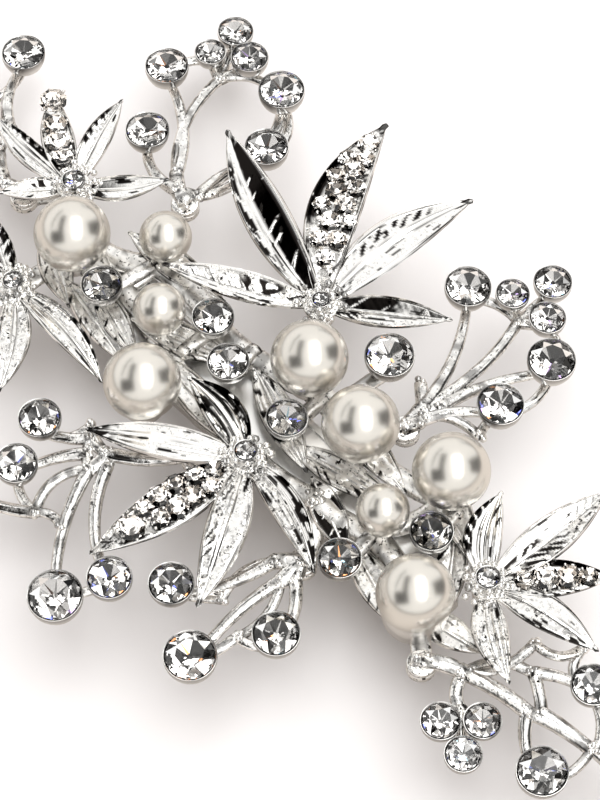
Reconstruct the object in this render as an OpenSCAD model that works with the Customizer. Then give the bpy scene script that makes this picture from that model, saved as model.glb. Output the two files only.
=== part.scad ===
// Leaf hairpin: a band of cast leaf flowers, pearls and rhinestones on a flat barrette clip.
// X runs along the band, Y across it and Z up. The hairpin lies on its lower arm at Z = 0.

/* [Clip] */
// Length of the clip plate
plate_len = 52; // [50:1:60]
// Width of the clip plate
plate_w = 8; // [7:0.5:9]
// Width of the lower arm
arm_w = 5; // [4.5:0.5:7]
// Thickness of the lower arm
arm_t = 1; // [0.8:0.1:1.2]

/* [Band] */
// Height of the band's base over the surface, at the middle
deck_top = 9; // [8.8:0.1:9.5]
// Radius that the band bends to along its length
bend_long = 300; // [260:10:400]
// Radius that the sprays droop to across the band
bend_across = 200; // [180:10:300]
// Thickness of the base's ribs
rib_t = 1.3; // [1.1:0.1:1.5]

/* [Pearls and stones] */
// Diameter of a large pearl
big_pearl = 8; // [7.6:0.1:8]
// Diameter of a small pearl
small_pearl = 5.5; // [5:0.1:5.6]
// Height of a stone cup's underside over the base
seat_lift = 0.2; // [0.1:0.05:0.3]
// Wall of a stone cup
cup_wall = 0.2; // [0.15:0.05:0.25]

/* [Stems and leaves] */
// Width of a stem at its root
stem_root = 1.5; // [1.2:0.1:1.8]
// Width of a stem at its cup
stem_tip = 1.0; // [0.8:0.1:1.2]
// Thickness of a leaf at its rib
leaf_t = 0.8; // [0.6:0.1:1]

/* [Hidden] */

// Gap between pieces that are fixed to each other
seat_gap = 0.1;
// Middle of the clip, under the band's middle line
clip_x = -1;
clip_y = -1.5;
plate_t = 0.8;
plate_top = deck_top - rib_t - seat_gap - 0.3;
edge_h = 0.4;
edge_w = 0.7;
// Slots through the clip plate: middle along and across it, length and width
SLOTS = [[-16, 2.6, 5, 0.9], [-7, -2.4, 3.4, 0.9], [-1.6, -2.6, 5, 0.9], [12, -1.6, 8, 2]];
post_w = 2.4;
pad_r = 1.5;
pad_t = 0.9;
pad_top = 0.2;
foot_t = 0.6;
hub_lift = 1.9;
hub_r = 1.9;
// Height of the ribs' and the bars' middle lines over the base
rib_lift = -0.45;
bar_lift = 0.1;
// Height of a bar's middle line on its foot, and the run over which it comes down outside the foot
root_lift = 1.0;
come_down = 4;

// Cup depth and pavilion depth as parts of the cup's diameter
cup_depth = 0.5;
cup_lip = 0.2;

// Gap between a stone's edge and its cup, height of its straight edge and of its top, as a part of the radius
stone_gap = 0.05;
stone_edge = 0.12;
stone_crown = 0.36;
stone_table = 0.58;
pavilion = 0.78;
// Cup diameter from which a stone is a piece of its own
big_stone = 4;
// Width of the rib under a cup on the base, and how far it lies below a bar
seat_rib_w = 1.8;
seat_rib_drop = 0.2;
// Height of a bar or stem as a part of its width
bar_flat = 0.7;
stem_flat = 0.8;

// Sides of a stem and rings along it
SIDES = 6;
STEPS = 4;
LEAF_STEPS = 6;
// Length of the sharp point past a leaf's last section
POINT = 0.3;
// Arch of a leaf as a part of its length, on the flowers and on the base
leaf_crown = 0.05;
flat_crown = 0.02;
// Thinnest part of a leaf as a part of its thickness, and how fast it thins where it narrows
leaf_thin = 0.35;
leaf_taper = 2.4;
// Narrowest part of a leaf as a part of its width, and a number under one that brings its widest part to the root
leaf_neck = 0.16;
leaf_swell = 0.93;
// How far a flower's leaves start below its hub's top
leaf_drop = 0.5;

// Pearls: along the band, across it, diameter, and how far its dish reaches as a part of the radius
PEARLS = [
    // x,    y,    diameter,    dish
    [-29.2, -2.0, big_pearl, 0.65],
    [-22.5, 5.0, small_pearl, 0.65],
    [-16.5, -1.5, small_pearl, 0.65],
    [-11.0, -9.0, big_pearl, 0.65],
    [-1.0, 5.0, big_pearl, 0.65],
    [8.0, 3.5, big_pearl, 0.65],
    [18.0, 6.5, big_pearl, 0.65],
    [16.0, -1.2, small_pearl, 0.65],
    [25.0, -5.5, big_pearl, 0.95]
];
pearl_lift = 0.8;
peg_r = 0.5;
peg_gap = 0.08;
// Depth of a dish below the base's top, width of its foot as a part of its reach, and how deep its peg starts
dish_sink = 0.6;
dish_foot = 0.8;
peg_sink = 0.3;

// Stones set on the base: place, cup diameter, and where the rib that carries it starts
BASE_STONES = [
    // x,    y,    cup,  rib_x, rib_y
    [-23.5, -3.2, 4.4, -22.5, 3.0],
    [-12.4, 2.2, 4.4, -12.5, -2.0],
    [-7.4, -0.4, 4.4, -7.5, 3.5],
    [1.5, -0.6, 4.4, 1.5, 4.5],
    [3.6, 12.0, 5.2, 3.0, 5.0],
    [20.6, 1.2, 4.5, 20.0, 5.5],
    [16.4, -7.6, 4.5, 16.0, -3.0]
];

// Stones of the sprays: place, cup diameter, where the stem starts, and the stem's sideways bow
TOP_SPRAY = [
    // x,    y,   cup, stem_x, stem_y, bow
    [-34.5, 13.5, 4.7, -27, 11, 1.2],
    [-39.5, 21.0, 4.7, -29, 12.5, -1.2],
    [-38.0, 26.0, 3.4, -35.5, 25.0, 0],
    [-38.2, 29.9, 3.9, -35.5, 25.0, 0],
    [-34.4, 28.4, 4.1, -35.5, 25.0, 0],
    [-28.5, 27.5, 5.0, -24.5, 19, -0.8],
    [-24.0, 21.0, 4.7, -25, 12, 0.8]
];
SIDE_SPRAY = [
    [3.0, 24.0, 4.9, 9.5, 11, -1],
    [6.4, 27.2, 3.6, 8.5, 26.0, 0],
    [8.2, 31.4, 4.1, 8.5, 26.0, 0],
    [10.9, 27.8, 3.9, 8.5, 26.0, 0],
    [15.0, 24.2, 5.1, 10.5, 12, 0.8],
    [15.2, 16.5, 4.9, 10.5, 9.5, 0.8]
];
LOW_SPRAY = [
    [6.5, -21.5, 4.7, 11.5, -12, 0.8],
    [13.5, -25.5, 5.5, 13.5, -13, -0.8],
    [17.8, -17.8, 4.9, 14.5, -12, 0.8]
];
TWIG_SPRAY = [
    [-16.5, -18.3, 4.5, -12, -15.5, 0.5],
    [-14.5, -23.4, 4.5, -11, -17, -0.5],
    [-0.8, -30.6, 5.7, -9.5, -18, -1.2],
    [1.6, -25.4, 4.7, -8.4, -16.6, -1.4],
    [-18.0, -28.6, 4.5, -10, -25, 0.6]
];
TAIL_SPRAY = [
    [35.4, -12.2, 4.1, 35.2, -9.2, 0],
    [38.2, -9.1, 3.9, 35.2, -9.2, 0],
    [39.3, -12.9, 3.9, 35.2, -9.2, 0],
    [46.0, -8.6, 5.3, 40, -4.5, -0.8],
    [43.0, 1.6, 4.5, 37.5, -1.2, 0.6],
    [52.0, -2.6, 4.7, 41, -3.5, 0.6]
];
HEAD_SPRAY = [
    [-52.0, 11.5, 4.7, -46.5, 4.5, 1],
    [-52.0, 3.2, 4.7, -45, 1.5, 0.8],
    [-47.0, -4.0, 4.7, -41, -1, -0.8]
];

// Ribs and bars between stems: start, end, sideways bow and width
TOP_BARS = [
    // x1,   y1,   x2,   y2,   bow, width
    [-25.5, 10.5, -27, 11, 0, 1.8],
    [-27, 11, -29, 12.5, 0, 1.6],
    [-29, 12.5, -35.5, 25.0, 1.4, 1.2],
    [-27, 11, -25, 12, 0, 1.4],
    [-25, 12, -24.5, 19, -0.8, 1.2],
    [-39.5, 21.0, -38.0, 26.0, 1, 1.1],
    [-35.5, 25.0, -28.5, 27.5, 1.6, 1.1],
    [-28.5, 27.5, -24.0, 21.0, 1.4, 1.1]
];
SIDE_BARS = [
    [10, 8, 9.5, 11, 0, 1.8],
    [10, 8, 10.5, 9.5, 0, 1.8],
    [9.5, 11, 8.5, 26.0, -1, 1.3],
    [9.5, 11, 10.5, 12, 0, 1.5],
    [10, 8, 15.5, 13.2, 1.8, 1.2],
    [15.5, 13.2, 15.2, 16.5, 0.4, 1.1],
    [3.0, 24.0, 8.5, 26.0, 0.8, 1.1],
    [10.9, 27.8, 15.0, 24.2, 1, 1.1],
    [15.0, 24.2, 15.2, 16.5, 1.2, 1.1],
    [9.5, 11, 7.2, 13, 0, 1.4]
];
LOW_BARS = [
    [13.5, -10, 11.5, -12, 0, 1.8],
    [13.5, -10, 13.5, -13, 0, 1.8],
    [13.5, -10, 14.5, -12, 0, 1.6],
    [11.5, -12, 10.5, -18.4, -1, 1.1],
    [10.5, -18.4, 6.5, -21.5, 0, 1.1],
    [13.5, -13, 14.5, -20, 1, 1.1],
    [14.5, -20, 13.5, -25.5, 0, 1.2],
    [14.5, -20, 17.8, -17.8, -0.6, 1.1]
];
TWIG_BARS = [
    [-2.5, -9, -9.5, -15.5, 0.8, 1.6],
    [-9.5, -15.5, -12, -15.5, 0.2, 1.3],
    [-9.5, -15.5, -9.5, -18, 0.2, 1.6],
    [-9.5, -15.5, -8.4, -16.6, 0, 1.3],
    [-12, -15.5, -11, -17, 0, 1.2],
    [-11, -17, -9.5, -18, 0, 1.3],
    [-14.5, -23.4, -10, -25, -0.6, 1.1],
    [-10, -25, -7, -24.2, 0.5, 1.1],
    [-9.5, -18, -10, -25, -1.4, 1.2],
    [-10, -15.5, -13, -14.6, 0.2, 1.1],
    [-13, -14.6, -16.5, -18.3, 1.2, 1.1],
    [-0.8, -30.6, 1.6, -25.4, 0.6, 1.1]
];
TAIL_BARS = [
    [29.4, -8.7, 33, -6.4, 0.3, 1.8],
    [33, -6.4, 40, -4.5, 0.3, 1.7],
    [40, -4.5, 47, -2.5, 0.3, 1.5],
    [33, -6.4, 35.2, -9.2, -0.6, 1.4],
    [33, -6.4, 37.5, -1.2, 1.2, 1.2],
    [37.5, -1.2, 41, -3.5, 0.2, 1.3],
    [47, -2.5, 46.0, -8.6, 0.8, 1.1],
    [43.0, 1.6, 47.5, -2.5, 0.8, 1.1],
    [43.0, 1.6, 39, 4.5, 1.4, 1.1],
    [39, 4.5, 35.4, 1.2, 1.2, 1.1],
    [35.4, 1.2, 33, -6.4, 1, 1.2]
];
HEAD_BARS = [
    [-38, 0.2, -41, -1, 0, 1.6],
    [-41, -1, -45, 1.5, 0.2, 1.6],
    [-45, 1.5, -46.5, 4.5, 0.2, 1.4],
    [-52.0, 11.5, -52.0, 3.2, 1.2, 1.1],
    [-52.0, 3.2, -47.0, -4.0, 1.2, 1.1]
];

// Pads on the base that the castings are fixed on, in the order of the flowers and then the sprays
FLOWER_AT = [[-6, 11.5], [1.5, -6.4], [-35, 3.4], [-30.4, -9.4], [28.2, 1.6]];
SPRAY_AT = [[-25.5, 10.5], [10, 8], [13.5, -10], [-2.5, -9.6], [29.4, -8.9], [-38.6, -0.6]];
SPRAY_STONES = [TOP_SPRAY, SIDE_SPRAY, LOW_SPRAY, TWIG_SPRAY, TAIL_SPRAY, HEAD_SPRAY];
SPRAY_BARS = [TOP_BARS, SIDE_BARS, LOW_BARS, TWIG_BARS, TAIL_BARS, HEAD_BARS];

// Leaves: direction, length along the base, width, height of the tip over the hub, roll about the rib and
// sideways bow
FLOWER_LEAVES = [
    [
        // angle, length, width, rise, roll, bow
        [161, 23.2, 5, 0.2, -3, 0.9],
        [119, 23.7, 5.7, -1.2, 0, 1.9],
        [86, 20.6, 5.6, -1, -8, 0.9],
        [35, 13.5, 3.8, 1.8, 0, 0],
        [-149, 16.8, 3.8, 1.2, 4, 0.3]
    ],
    [
        [170, 10.4, 4.2, 1.2, 0, -0.9],
        [-145, 16.4, 3.8, 0.4, -10, 0.15],
        [-100, 18.6, 5.2, -0.5, 0, 0.5],
        [-60, 17, 4.4, -0.2, -8, 0.5],
        [-16, 14.6, 3.4, 0.4, 12, 0.9]
    ],
    [
        [148, 12.2, 3.6, -0.6, 0, 0.6],
        [112, 11.8, 3, 0, 0, 0.2],
        [47, 9.8, 3.1, 1.4, 0, -0.6],
        [179, 12.6, 3, -0.6, 4, 0.8],
        [-128, 7.8, 2.8, 0.4, 0, 0]
    ],
    [
        [156, 10, 3, 0, 0, 0],
        [-3, 14.2, 3.4, -0.6, -6, 0.7],
        [-49, 12.6, 3.6, 0.6, -6, 0.8],
        [-103, 12.5, 3.4, 0, 0, 0.4],
        [-158, 11.5, 3.2, 0, 0, 0.4]
    ],
    [
        [127, 9.8, 4, 1.2, 0, 1.2],
        [86, 16, 4.4, 0.2, 0, -0.3],
        [50, 12.6, 4.2, 0, 0, 0],
        [13, 12.8, 4, -0.4, 0, 0.4],
        [-34, 10.8, 3.7, 0, 0, -0.8]
    ]
];
// Cup of each flower's centre stone
CENTRE_CUPS = [2.0, 2.5, 2.5, 2.2, 2.6];

// Ribs of the base: start, end, sideways bow and width
BASE_RIBS = [
    // x1,   y1,   x2,   y2,   bow, width
    [-35, 3.4, -29.2, 0.5, 0.6, 2.6],
    [-29.2, 0.5, -22.5, 3.5, -0.8, 2.8],
    [-22.5, 3.5, -12.5, 2.6, 0.8, 2.8],
    [-12.5, 2.6, -1, 4.4, -0.6, 2.8],
    [-1, 4.4, 8, 3.6, 0.6, 2.8],
    [8, 3.6, 18, 5.6, -0.6, 2.6],
    [18, 5.6, 28.2, 1.6, 1, 2.4],
    [-35, 3.4, -38.6, -0.6, -0.4, 2],
    [-30.4, -9.4, -29.2, -2, 0.6, 2.2],
    [-29.2, -2, -16.5, -2, 0.8, 2.8],
    [-16.5, -2, -11, -6.4, 0.6, 2.6],
    [-11, -6.4, -11, -9, 0, 2.6],
    [-16.5, -2, -2.5, -5, -0.6, 2.4],
    [-2.5, -5, 9, -4, -0.6, 2.4],
    [9, -4, 16, -2.4, -0.4, 2.6],
    [16, -2.4, 25, -5.5, 0.8, 2.6],
    [25, -5.5, 29.4, -8.9, 0.3, 2.2],
    [-2.5, -5, -2.5, -9.6, 0.3, 1.8],
    [-2.5, -5, 1.5, -6.4, 0.2, 2.2],
    [9, -4, 13.5, -10, 0.6, 2],
    [-1, 4.4, -6, 11.5, 0.6, 2.2],
    [-22.5, 3.5, -25.5, 10.5, 0.4, 2],
    [8, 3.6, 10, 8, 0.2, 2],
    [18, 5.6, 16, -1.2, 0.8, 2.2],
    [-22.5, 3.5, -23.5, -3.2, 0.4, 2],
    [8, 3.6, 9, -4, 0.8, 2.2]
];
// Flat leaves cast on the base between the pearls: root, direction, length and width
BASE_LEAVES = [
    // x,  y,   angle, length, width
    [-33, 0, -12, 11, 3.6],
    [-27, 4, 6, 13, 3.6],
    [-19, -3, 20, 12, 3.8],
    [-14, -4, -6, 14, 3.8],
    [-6, 2, -20, 13, 3.8],
    [3, 4.8, -8, 12, 3.6],
    [3, -1.6, 14, 13, 3.6],
    [15, -4.6, -18, 10.5, 3.6],
    [14, 8, -24, 13, 3.6],
    [21, 4.5, -52, 10, 3.4],
    [7.2, -2.5, -22, 9, 3.6],
    [-27.5, -4.6, -12, 11.5, 3.2],
    [-25, -3, -16, 9.5, 3],
    [24.5, -5.2, 12, 8.3, 3.6],
    [-33.5, -2.5, -25, 9, 3.4]
];

FLOWER_COUNT = len(FLOWER_AT);
SPRAY_COUNT = len(SPRAY_AT);

// Every stone as place and cup diameter; those with a cup of big_stone or more are pieces of their own
ALL_STONES = concat(
    [for (s = BASE_STONES) [s[0], s[1], s[2]]],
    [for (rows = SPRAY_STONES) for (s = rows) [s[0], s[1], s[2]]]
);
BIG_STONES = [for (s = ALL_STONES) if (s[2] >= big_stone) s];
SMALL_STONES = [for (s = ALL_STONES) if (s[2] < big_stone) s];

// Height of the band's base at a place
function deck(x, y) = deck_top - x * x / (2 * bend_long) - y * y / (2 * bend_across);
// Angles that lean a stone half as much as the base leans there
function lean(x, y) = [-atan(y / (2 * bend_across)), atan(x / (2 * bend_long)), 0];
function unit(v) = v / norm(v);
function mix(a, b, t) = a + (b - a) * t;

// Points along a bar from p to q that bows sideways in plan, or only its ends where it is straight
function bowed(p, q, bow) =
    let (steps = bow == 0 ? 1 : STEPS, flat = unit([q[0] - p[0], q[1] - p[1]]), side = [-flat[1], flat[0], 0])
    [for (k = [0:steps]) mix(p, q, k / steps) + side * bow * 4 * k * (steps - k) / (steps * steps)];

// One ring of a rod, square to the way it runs and flattened from above
function ring(at, along, wide, high, sides) =
    let (u = unit(cross(along, [0, 0, 1])), v = cross(u, along))
    [for (i = [0:sides - 1]) at + u * wide / 2 * cos(360 * i / sides) + v * high / 2 * sin(360 * i / sides)];

// Triangles of the side walls over rings of the same number of points
function walls(rings, count) = [
    for (k = [0:rings - 2], i = [0:count - 1]) each
        let (a = k * count + i, b = k * count + (i + 1) % count)
        [[a, b, a + count], [b, b + count, a + count]]
];
// Triangles of two flat ends
function flat_ends(rings, count) = concat(
    [for (i = [1:count - 2]) [0, i + 1, i]],
    [for (i = [1:count - 2]) let (z = (rings - 1) * count) [z, z + i, z + i + 1]]
);
// Triangles of two pointed ends, whose points come after the rings
function pointed_ends(rings, count) = [
    for (i = [0:count - 1]) each
        let (j = (i + 1) % count, z = (rings - 1) * count, tip = rings * count)
        [[j, i, tip], [z + i, z + j, tip + 1]]
];

// A tapering rod through points, with a width at each end and a height as a part of the width
module rod(points, wide_1, wide_2, flat = stem_flat) {
    last = len(points) - 1;
    rings = [for (k = [0:last])
        let (along = unit(points[min(k + 1, last)] - points[max(k - 1, 0)]), w = mix(wide_1, wide_2, k / last))
        ring(points[k], along, w, w * flat, SIDES)];
    polyhedron([for (r = rings) each r], concat(walls(last + 1, SIDES), flat_ends(last + 1, SIDES)));
}

// A rib of the base, which follows the band's bend
module rib(row, lift, flat) {
    p = [row[0], row[1], deck(row[0], row[1]) + lift];
    q = [row[2], row[3], deck(row[2], row[3]) + lift];
    rod(bowed(p, q, row[4]), row[5], row[5], flat);
}

// A point of a spray, which starts on its foot and comes down to the level of the cups' undersides
function on_spray(x, y, foot) =
    let (away = max(0, min(1, (norm([x, y] - foot) - 2) / come_down)))
    [x, y, deck(x, y) + mix(root_lift, bar_lift, away)];

// A bar of a spray between two of its points
module bar(row, foot) {
    rod(bowed(on_spray(row[0], row[1], foot), on_spray(row[2], row[3], foot), row[4]), row[5], row[5], bar_flat);
}

// Half width of a leaf at a part of its length, as a part of its full width
function leaf_half(t) = 0.5 * max(leaf_neck, pow(sin(180 * pow(t, leaf_swell)), 0.8));

// Cross-section of a leaf: across as a part of the half width, and height as a part of the thickness
LEAF_SECTION = [
    [-1, 0.45], [-0.55, -0.1], [0, 0.3], [0.55, -0.1], [1, 0.45], [1, -0.3], [0, -1], [-1, -0.3]
];

// A leaf from its root along X: two troughs beside a raised rib, with raised rims, a sideways bow and a tip at its rise
module leaf(length, width, rise, roll, bow, crown = leaf_crown) {
    rings = [for (k = [0:LEAF_STEPS])
        let (
            t = k / LEAF_STEPS,
            half = width * leaf_half(t),
            z = rise * t * t + crown * length * 4 * t * (1 - t),
            aside = bow * 4 * t * (1 - t),
            tall = leaf_t * max(leaf_thin, min(1, leaf_taper * half / width))
        )
        [for (p = LEAF_SECTION)
            let (y = p[0] * half, h = p[1] * tall)
            [length * t, aside + y * cos(roll) - h * sin(roll), z + y * sin(roll) + h * cos(roll)]]];
    count = len(LEAF_SECTION);
    points = concat([for (r = rings) each r], [[-POINT, 0, 0], [length + POINT, 0, rise]]);
    polyhedron(points, concat(walls(LEAF_STEPS + 1, count), pointed_ends(LEAF_STEPS + 1, count)));
}

// A stone cup of one diameter, its lip just over the stone's widest line at Z = 0
module cup(wide) {
    r = wide / 2;
    inner = r - cup_wall;
    depth = wide * cup_depth;
    rotate_extrude($fn = 24)
        polygon([
            [0, -depth], [r * 0.5, -depth], [r * 0.86, -depth * 0.62], [r, -depth * 0.12], [r, cup_lip],
            [inner, cup_lip], [inner, -0.06 * depth], [0.3 * r, -depth * 0.84], [0, -depth * 0.84]
        ]);
}

// A faceted stone shown as its round envelope: a crown over a pointed pavilion
module stone(wide) {
    r = wide / 2 - cup_wall - stone_gap;
    depth = wide * cup_depth;
    rotate_extrude($fn = 24)
        polygon([
            [0, -depth * pavilion], [0.24 * r, -depth * pavilion], [r, 0], [r, stone_edge],
            [r * stone_table, r * stone_crown], [0, r * stone_crown]
        ]);
}

// Puts a child where a cup of one diameter has its stone's widest line, leaning with the base
module seated(x, y, wide, lift = seat_lift) {
    translate([x, y, deck(x, y) + lift + wide * cup_depth]) rotate(lean(x, y)) children();
}

// Slotted clip plate on two end posts over the flat lower arm
module clasp() {
    color("gainsboro") translate([clip_x, clip_y, 0]) {
        difference() {
            rotate([90, 0, 0]) linear_extrude(plate_w, center = true) arch(plate_top, plate_t);
            for (s = SLOTS)
                translate([s[0], s[1], plate_top]) cube([s[2], s[3], 6], center = true);
        }
        for (side = [-1, 1])
            translate([0, side * (plate_w - edge_w) / 2, 0])
                rotate([90, 0, 0]) linear_extrude(edge_w, center = true) arch(plate_top + edge_h, edge_h + 0.2);
        linear_extrude(arm_t) square([plate_len - post_w, arm_w], center = true);
        for (side = [-1, 1])
            translate([side * (plate_len - post_w) / 2, 0, 0])
                linear_extrude(plate_top - plate_t / 2 - pow(plate_len / 2, 2) / (2 * bend_long))
                    square([post_w, arm_w], center = true);
    }
}

// Side view of an arched strip: its top at a height and its thickness
module arch(top, thick) {
    intersection() {
        translate([0, top - bend_long]) difference() {
            circle(bend_long, $fn = 720);
            circle(bend_long - thick, $fn = 720);
        }
        translate([-plate_len / 2, 0]) square([plate_len, top + 5]);
    }
}

// Cast base under the pearls
module backbone() {
    color("silver") {
        for (row = BASE_RIBS) rib(row, rib_lift, rib_t / 2.6);
        for (p = BASE_LEAVES)
            translate([p[0], p[1], deck(p[0] + p[3] / 2, p[1]) + rib_lift + 0.3]) rotate([0, 0, p[2]])
                leaf(p[3], p[4], 0, 0, 0, flat_crown);
        for (p = concat(FLOWER_AT, SPRAY_AT))
            translate([p[0], p[1], deck(p[0], p[1]) + pad_top - pad_t])
                cylinder(pad_t, pad_r, pad_r, $fn = 32);
        for (p = PEARLS) pearl_dish(p);
        for (s = BASE_STONES) {
            seated(s[0], s[1], s[2]) cup(s[2]);
            rib([s[3], s[4], s[0], s[1], 0, seat_rib_w], bar_lift - seat_rib_drop, bar_flat);
        }
    }
}

// Dish under a pearl, hollowed to its shape, with a peg that stands in the pearl's hole
module pearl_dish(p) {
    r = p[2] / 2;
    z = deck(p[0], p[1]);
    reach = r * p[3];
    rim = pearl_lift + r - sqrt(r * r - reach * reach);
    translate([p[0], p[1], z - dish_sink]) difference() {
        cylinder(rim + dish_sink, reach * dish_foot, reach, $fn = 48);
        translate([0, 0, dish_sink + pearl_lift + r]) sphere(r + seat_gap, $fn = 64);
    }
    translate([p[0], p[1], z - peg_sink]) cylinder(peg_sink + pearl_lift + r * 0.5, peg_r, peg_r, $fn = 24);
}

// Round pearl with the hole for its peg
module pearl(p) {
    r = p[2] / 2;
    color("ivory") translate([p[0], p[1], deck(p[0], p[1]) + pearl_lift + r]) difference() {
        sphere(r, $fn = 64);
        translate([0, 0, -r - 1])
            cylinder(1 + r * 0.5 + peg_gap, peg_r + peg_gap, peg_r + peg_gap, $fn = 24);
    }
}

// Cast flower: foot, hub, leaves and centre cup
module flower(i) {
    at = FLOWER_AT[i];
    z = deck(at[0], at[1]);
    foot = pad_top + seat_gap;
    color("silver") {
        translate([at[0], at[1], z + foot]) cylinder(hub_lift - foot, pad_r, hub_r, $fn = 32);
        seated(at[0], at[1], CENTRE_CUPS[i], hub_lift - 0.1) cup(CENTRE_CUPS[i]);
        for (row = FLOWER_LEAVES[i])
            translate([at[0], at[1], z + hub_lift - leaf_drop]) rotate([0, 0, row[0]])
                leaf(row[1], row[2], row[3], row[4], row[5]);
    }
}

// Cast spray: foot, bars, stems and stone cups
module spray(i) {
    at = SPRAY_AT[i];
    color("silver") {
        translate([at[0], at[1], deck(at[0], at[1]) + pad_top + seat_gap])
            cylinder(foot_t, pad_r, pad_r, $fn = 32);
        for (row = SPRAY_BARS[i]) bar(row, at);
        for (s = SPRAY_STONES[i]) {
            seated(s[0], s[1], s[2]) cup(s[2]);
            rod(bowed(on_spray(s[3], s[4], at), on_spray(s[0], s[1], at), s[5]), stem_root, stem_tip);
        }
    }
}

module big_stone_piece(i) {
    s = BIG_STONES[i];
    color("azure") seated(s[0], s[1], s[2]) stone(s[2]);
}

module small_stones() {
    color("azure") for (s = SMALL_STONES) seated(s[0], s[1], s[2]) stone(s[2]);
}

module centre_stones() {
    color("azure") for (i = [0:FLOWER_COUNT - 1])
        seated(FLOWER_AT[i][0], FLOWER_AT[i][1], CENTRE_CUPS[i], hub_lift - 0.1) stone(CENTRE_CUPS[i]);
}

clasp();
backbone();
for (i = [1:FLOWER_COUNT]) flower(i - 1);
for (i = [1:SPRAY_COUNT]) spray(i - 1);
for (i = [1:len(PEARLS)]) pearl(PEARLS[i - 1]);
for (i = [1:len(BIG_STONES)]) big_stone_piece(i - 1);
small_stones();
centre_stones();
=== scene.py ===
"""Looks of the leaf hairpin: cast silver leaves and sprays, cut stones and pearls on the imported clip.

The tables are in millimetres, in the part's own frame, and repeat the part's source. Meshes are in metres.
"""

import bpy
import numpy as np
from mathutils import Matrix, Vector


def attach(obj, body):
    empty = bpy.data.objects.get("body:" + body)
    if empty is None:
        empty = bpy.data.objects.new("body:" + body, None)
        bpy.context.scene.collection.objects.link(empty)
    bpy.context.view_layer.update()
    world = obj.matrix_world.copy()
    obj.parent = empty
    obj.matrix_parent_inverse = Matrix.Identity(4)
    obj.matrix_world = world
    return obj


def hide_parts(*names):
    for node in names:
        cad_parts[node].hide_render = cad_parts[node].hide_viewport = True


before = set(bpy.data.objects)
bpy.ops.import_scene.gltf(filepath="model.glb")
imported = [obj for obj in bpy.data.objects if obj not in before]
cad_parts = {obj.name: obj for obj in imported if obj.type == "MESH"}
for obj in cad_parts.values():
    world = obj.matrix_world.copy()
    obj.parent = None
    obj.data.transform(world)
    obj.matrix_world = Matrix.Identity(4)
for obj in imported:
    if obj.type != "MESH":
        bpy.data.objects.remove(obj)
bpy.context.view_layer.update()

MM = 0.001

# Top of the band's base at its middle, and the radii it bends down by along and across
DECK_TOP, BEND_LONG, BEND_ACROSS = 9.0, 300.0, 200.0
# Cups: foot over the base, wall, depth as a part of the diameter, lip over the stone's widest line
SEAT_LIFT, CUP_WALL, CUP_DEPTH, CUP_LIP = 0.2, 0.2, 0.5, 0.2
# Points round a cup
CUP_AROUND = 32
# Rods: a stem's width at its root and tip, height over width of ribs, bars and stems, length of a rounded end
# over half the width, and how far the hammered waves move the raw surface
STEM_ROOT, STEM_TIP = 1.5, 1.0
RIB_FLAT, BAR_FLAT, STEM_FLAT = 0.5, 0.7, 0.8
CAP_LONG, CAST_WAVES = 0.6, 0.09
# Width of the rod from the base to one of its cups, and the step between points along any bar
ARM_WIDE, BAR_STEP = 1.8, 0.5
# Leaves: thickness, blunt point, arch of the middle line as a part of the length, slant of the veins
LEAF_THICK, LEAF_POINT, LEAF_CROWN, VEIN_SLANT = 0.8, 0.3, 0.05, 1.3
# Where a leaf's gutter and its rim start, as parts of the half width
GUTTER_AT, RIM_AT = 0.81, 0.84
# Heights of a leaf's top: rim, fall at the edge, rib, gutter, veins by their table, a paved floor; the rib's
# half width and the way out at which a folded floor is level
RIM_TALL, EDGE_FALL, RIB_TALL, GUTTER_DEEP, VEIN_TALL, PAVED_FLOOR = 0.37, 0.4, 0.26, 0.1, 2.4, -0.16
RIB_WIDE, LEVEL_AT = 0.13, 0.62
# Pads of the base, and over the gap of the solder the feet of the sprays and the hubs of the flowers
SEAT_GAP = 0.1
PAD_R, PAD_THICK, PAD_TOP = 1.5, 0.9, 0.2
FOOT_LIFT, FOOT_THICK = PAD_TOP + SEAT_GAP, 0.6
HUB_LIFT, HUB_R = 1.9, 1.9
# Heights over the base: a flower's centre cup and leaves, the ribs, the bars, the rods to the base's cups
CENTRE_LIFT, LEAF_LIFT = HUB_LIFT - 0.1, HUB_LIFT - 0.5
RIB_LIFT, BAR_LIFT = -0.45, 0.1
ARM_LIFT = BAR_LIFT - 0.2
# Height over the base of a spray's root, and the way out over which its bars come down
ROOT_LIFT, COME_DOWN = 1.0, 4.0
# A pearl's lowest point over the base, its peg's radius and the gap round the peg
PEARL_LIFT, PEG_R, PEG_GAP = 0.8, 0.5, 0.08
# Cup diameter from which a stone is a piece of its own
BIG_STONE = 4.0
# Grains of cast metal: size on hubs and ribs, size at the ends of bars, way out and number on a hub
GRAIN, FINE_GRAIN, HUB_REACH, HUB_GRAINS = 0.42, 0.34, 2.7, 34
# Beads round a centre cup: their number and radius. Beads that hold a paving stone, and how high it sits
CENTRE_BEADS, CENTRE_BEAD_R, PAVING_BEAD_R, PAVING_LIFT = 7, 0.34, 0.2, 0.22
# How far each cup, stone and centre stone is turned from the one before it, in radians
CUP_TURN, STONE_TURN, CENTRE_TURN = 0.5, 0.61, 0.4
# Direction, in degrees from the X axis, of the painted lit side of the stones' foil, where facets are painted
# bright
PAINTED_LIGHT_SIDE = 281.0
# Paving stones stand further out and are larger than in their table by these factors
PAVING_OUT, PAVING_WIDE = 1.1, 1.28

# First chance seed of each kind of part: grains of the hubs, leaves, bars and the grains at their two ends,
# stems; ribs and their grains, base leaves, rods to the base's cups, stones, centre stones
HUB_SEED, LEAF_SEED, BAR_SEED, BAR_START_SEED, BAR_END_SEED, STEM_SEED = 30, 40, 200, 220, 240, 400
RIB_SEED, RIB_GRAIN_SEED, BASE_LEAF_SEED, ARM_SEED, STONE_SEED, CENTRE_SEED = 600, 650, 700, 800, 900, 980

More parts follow.
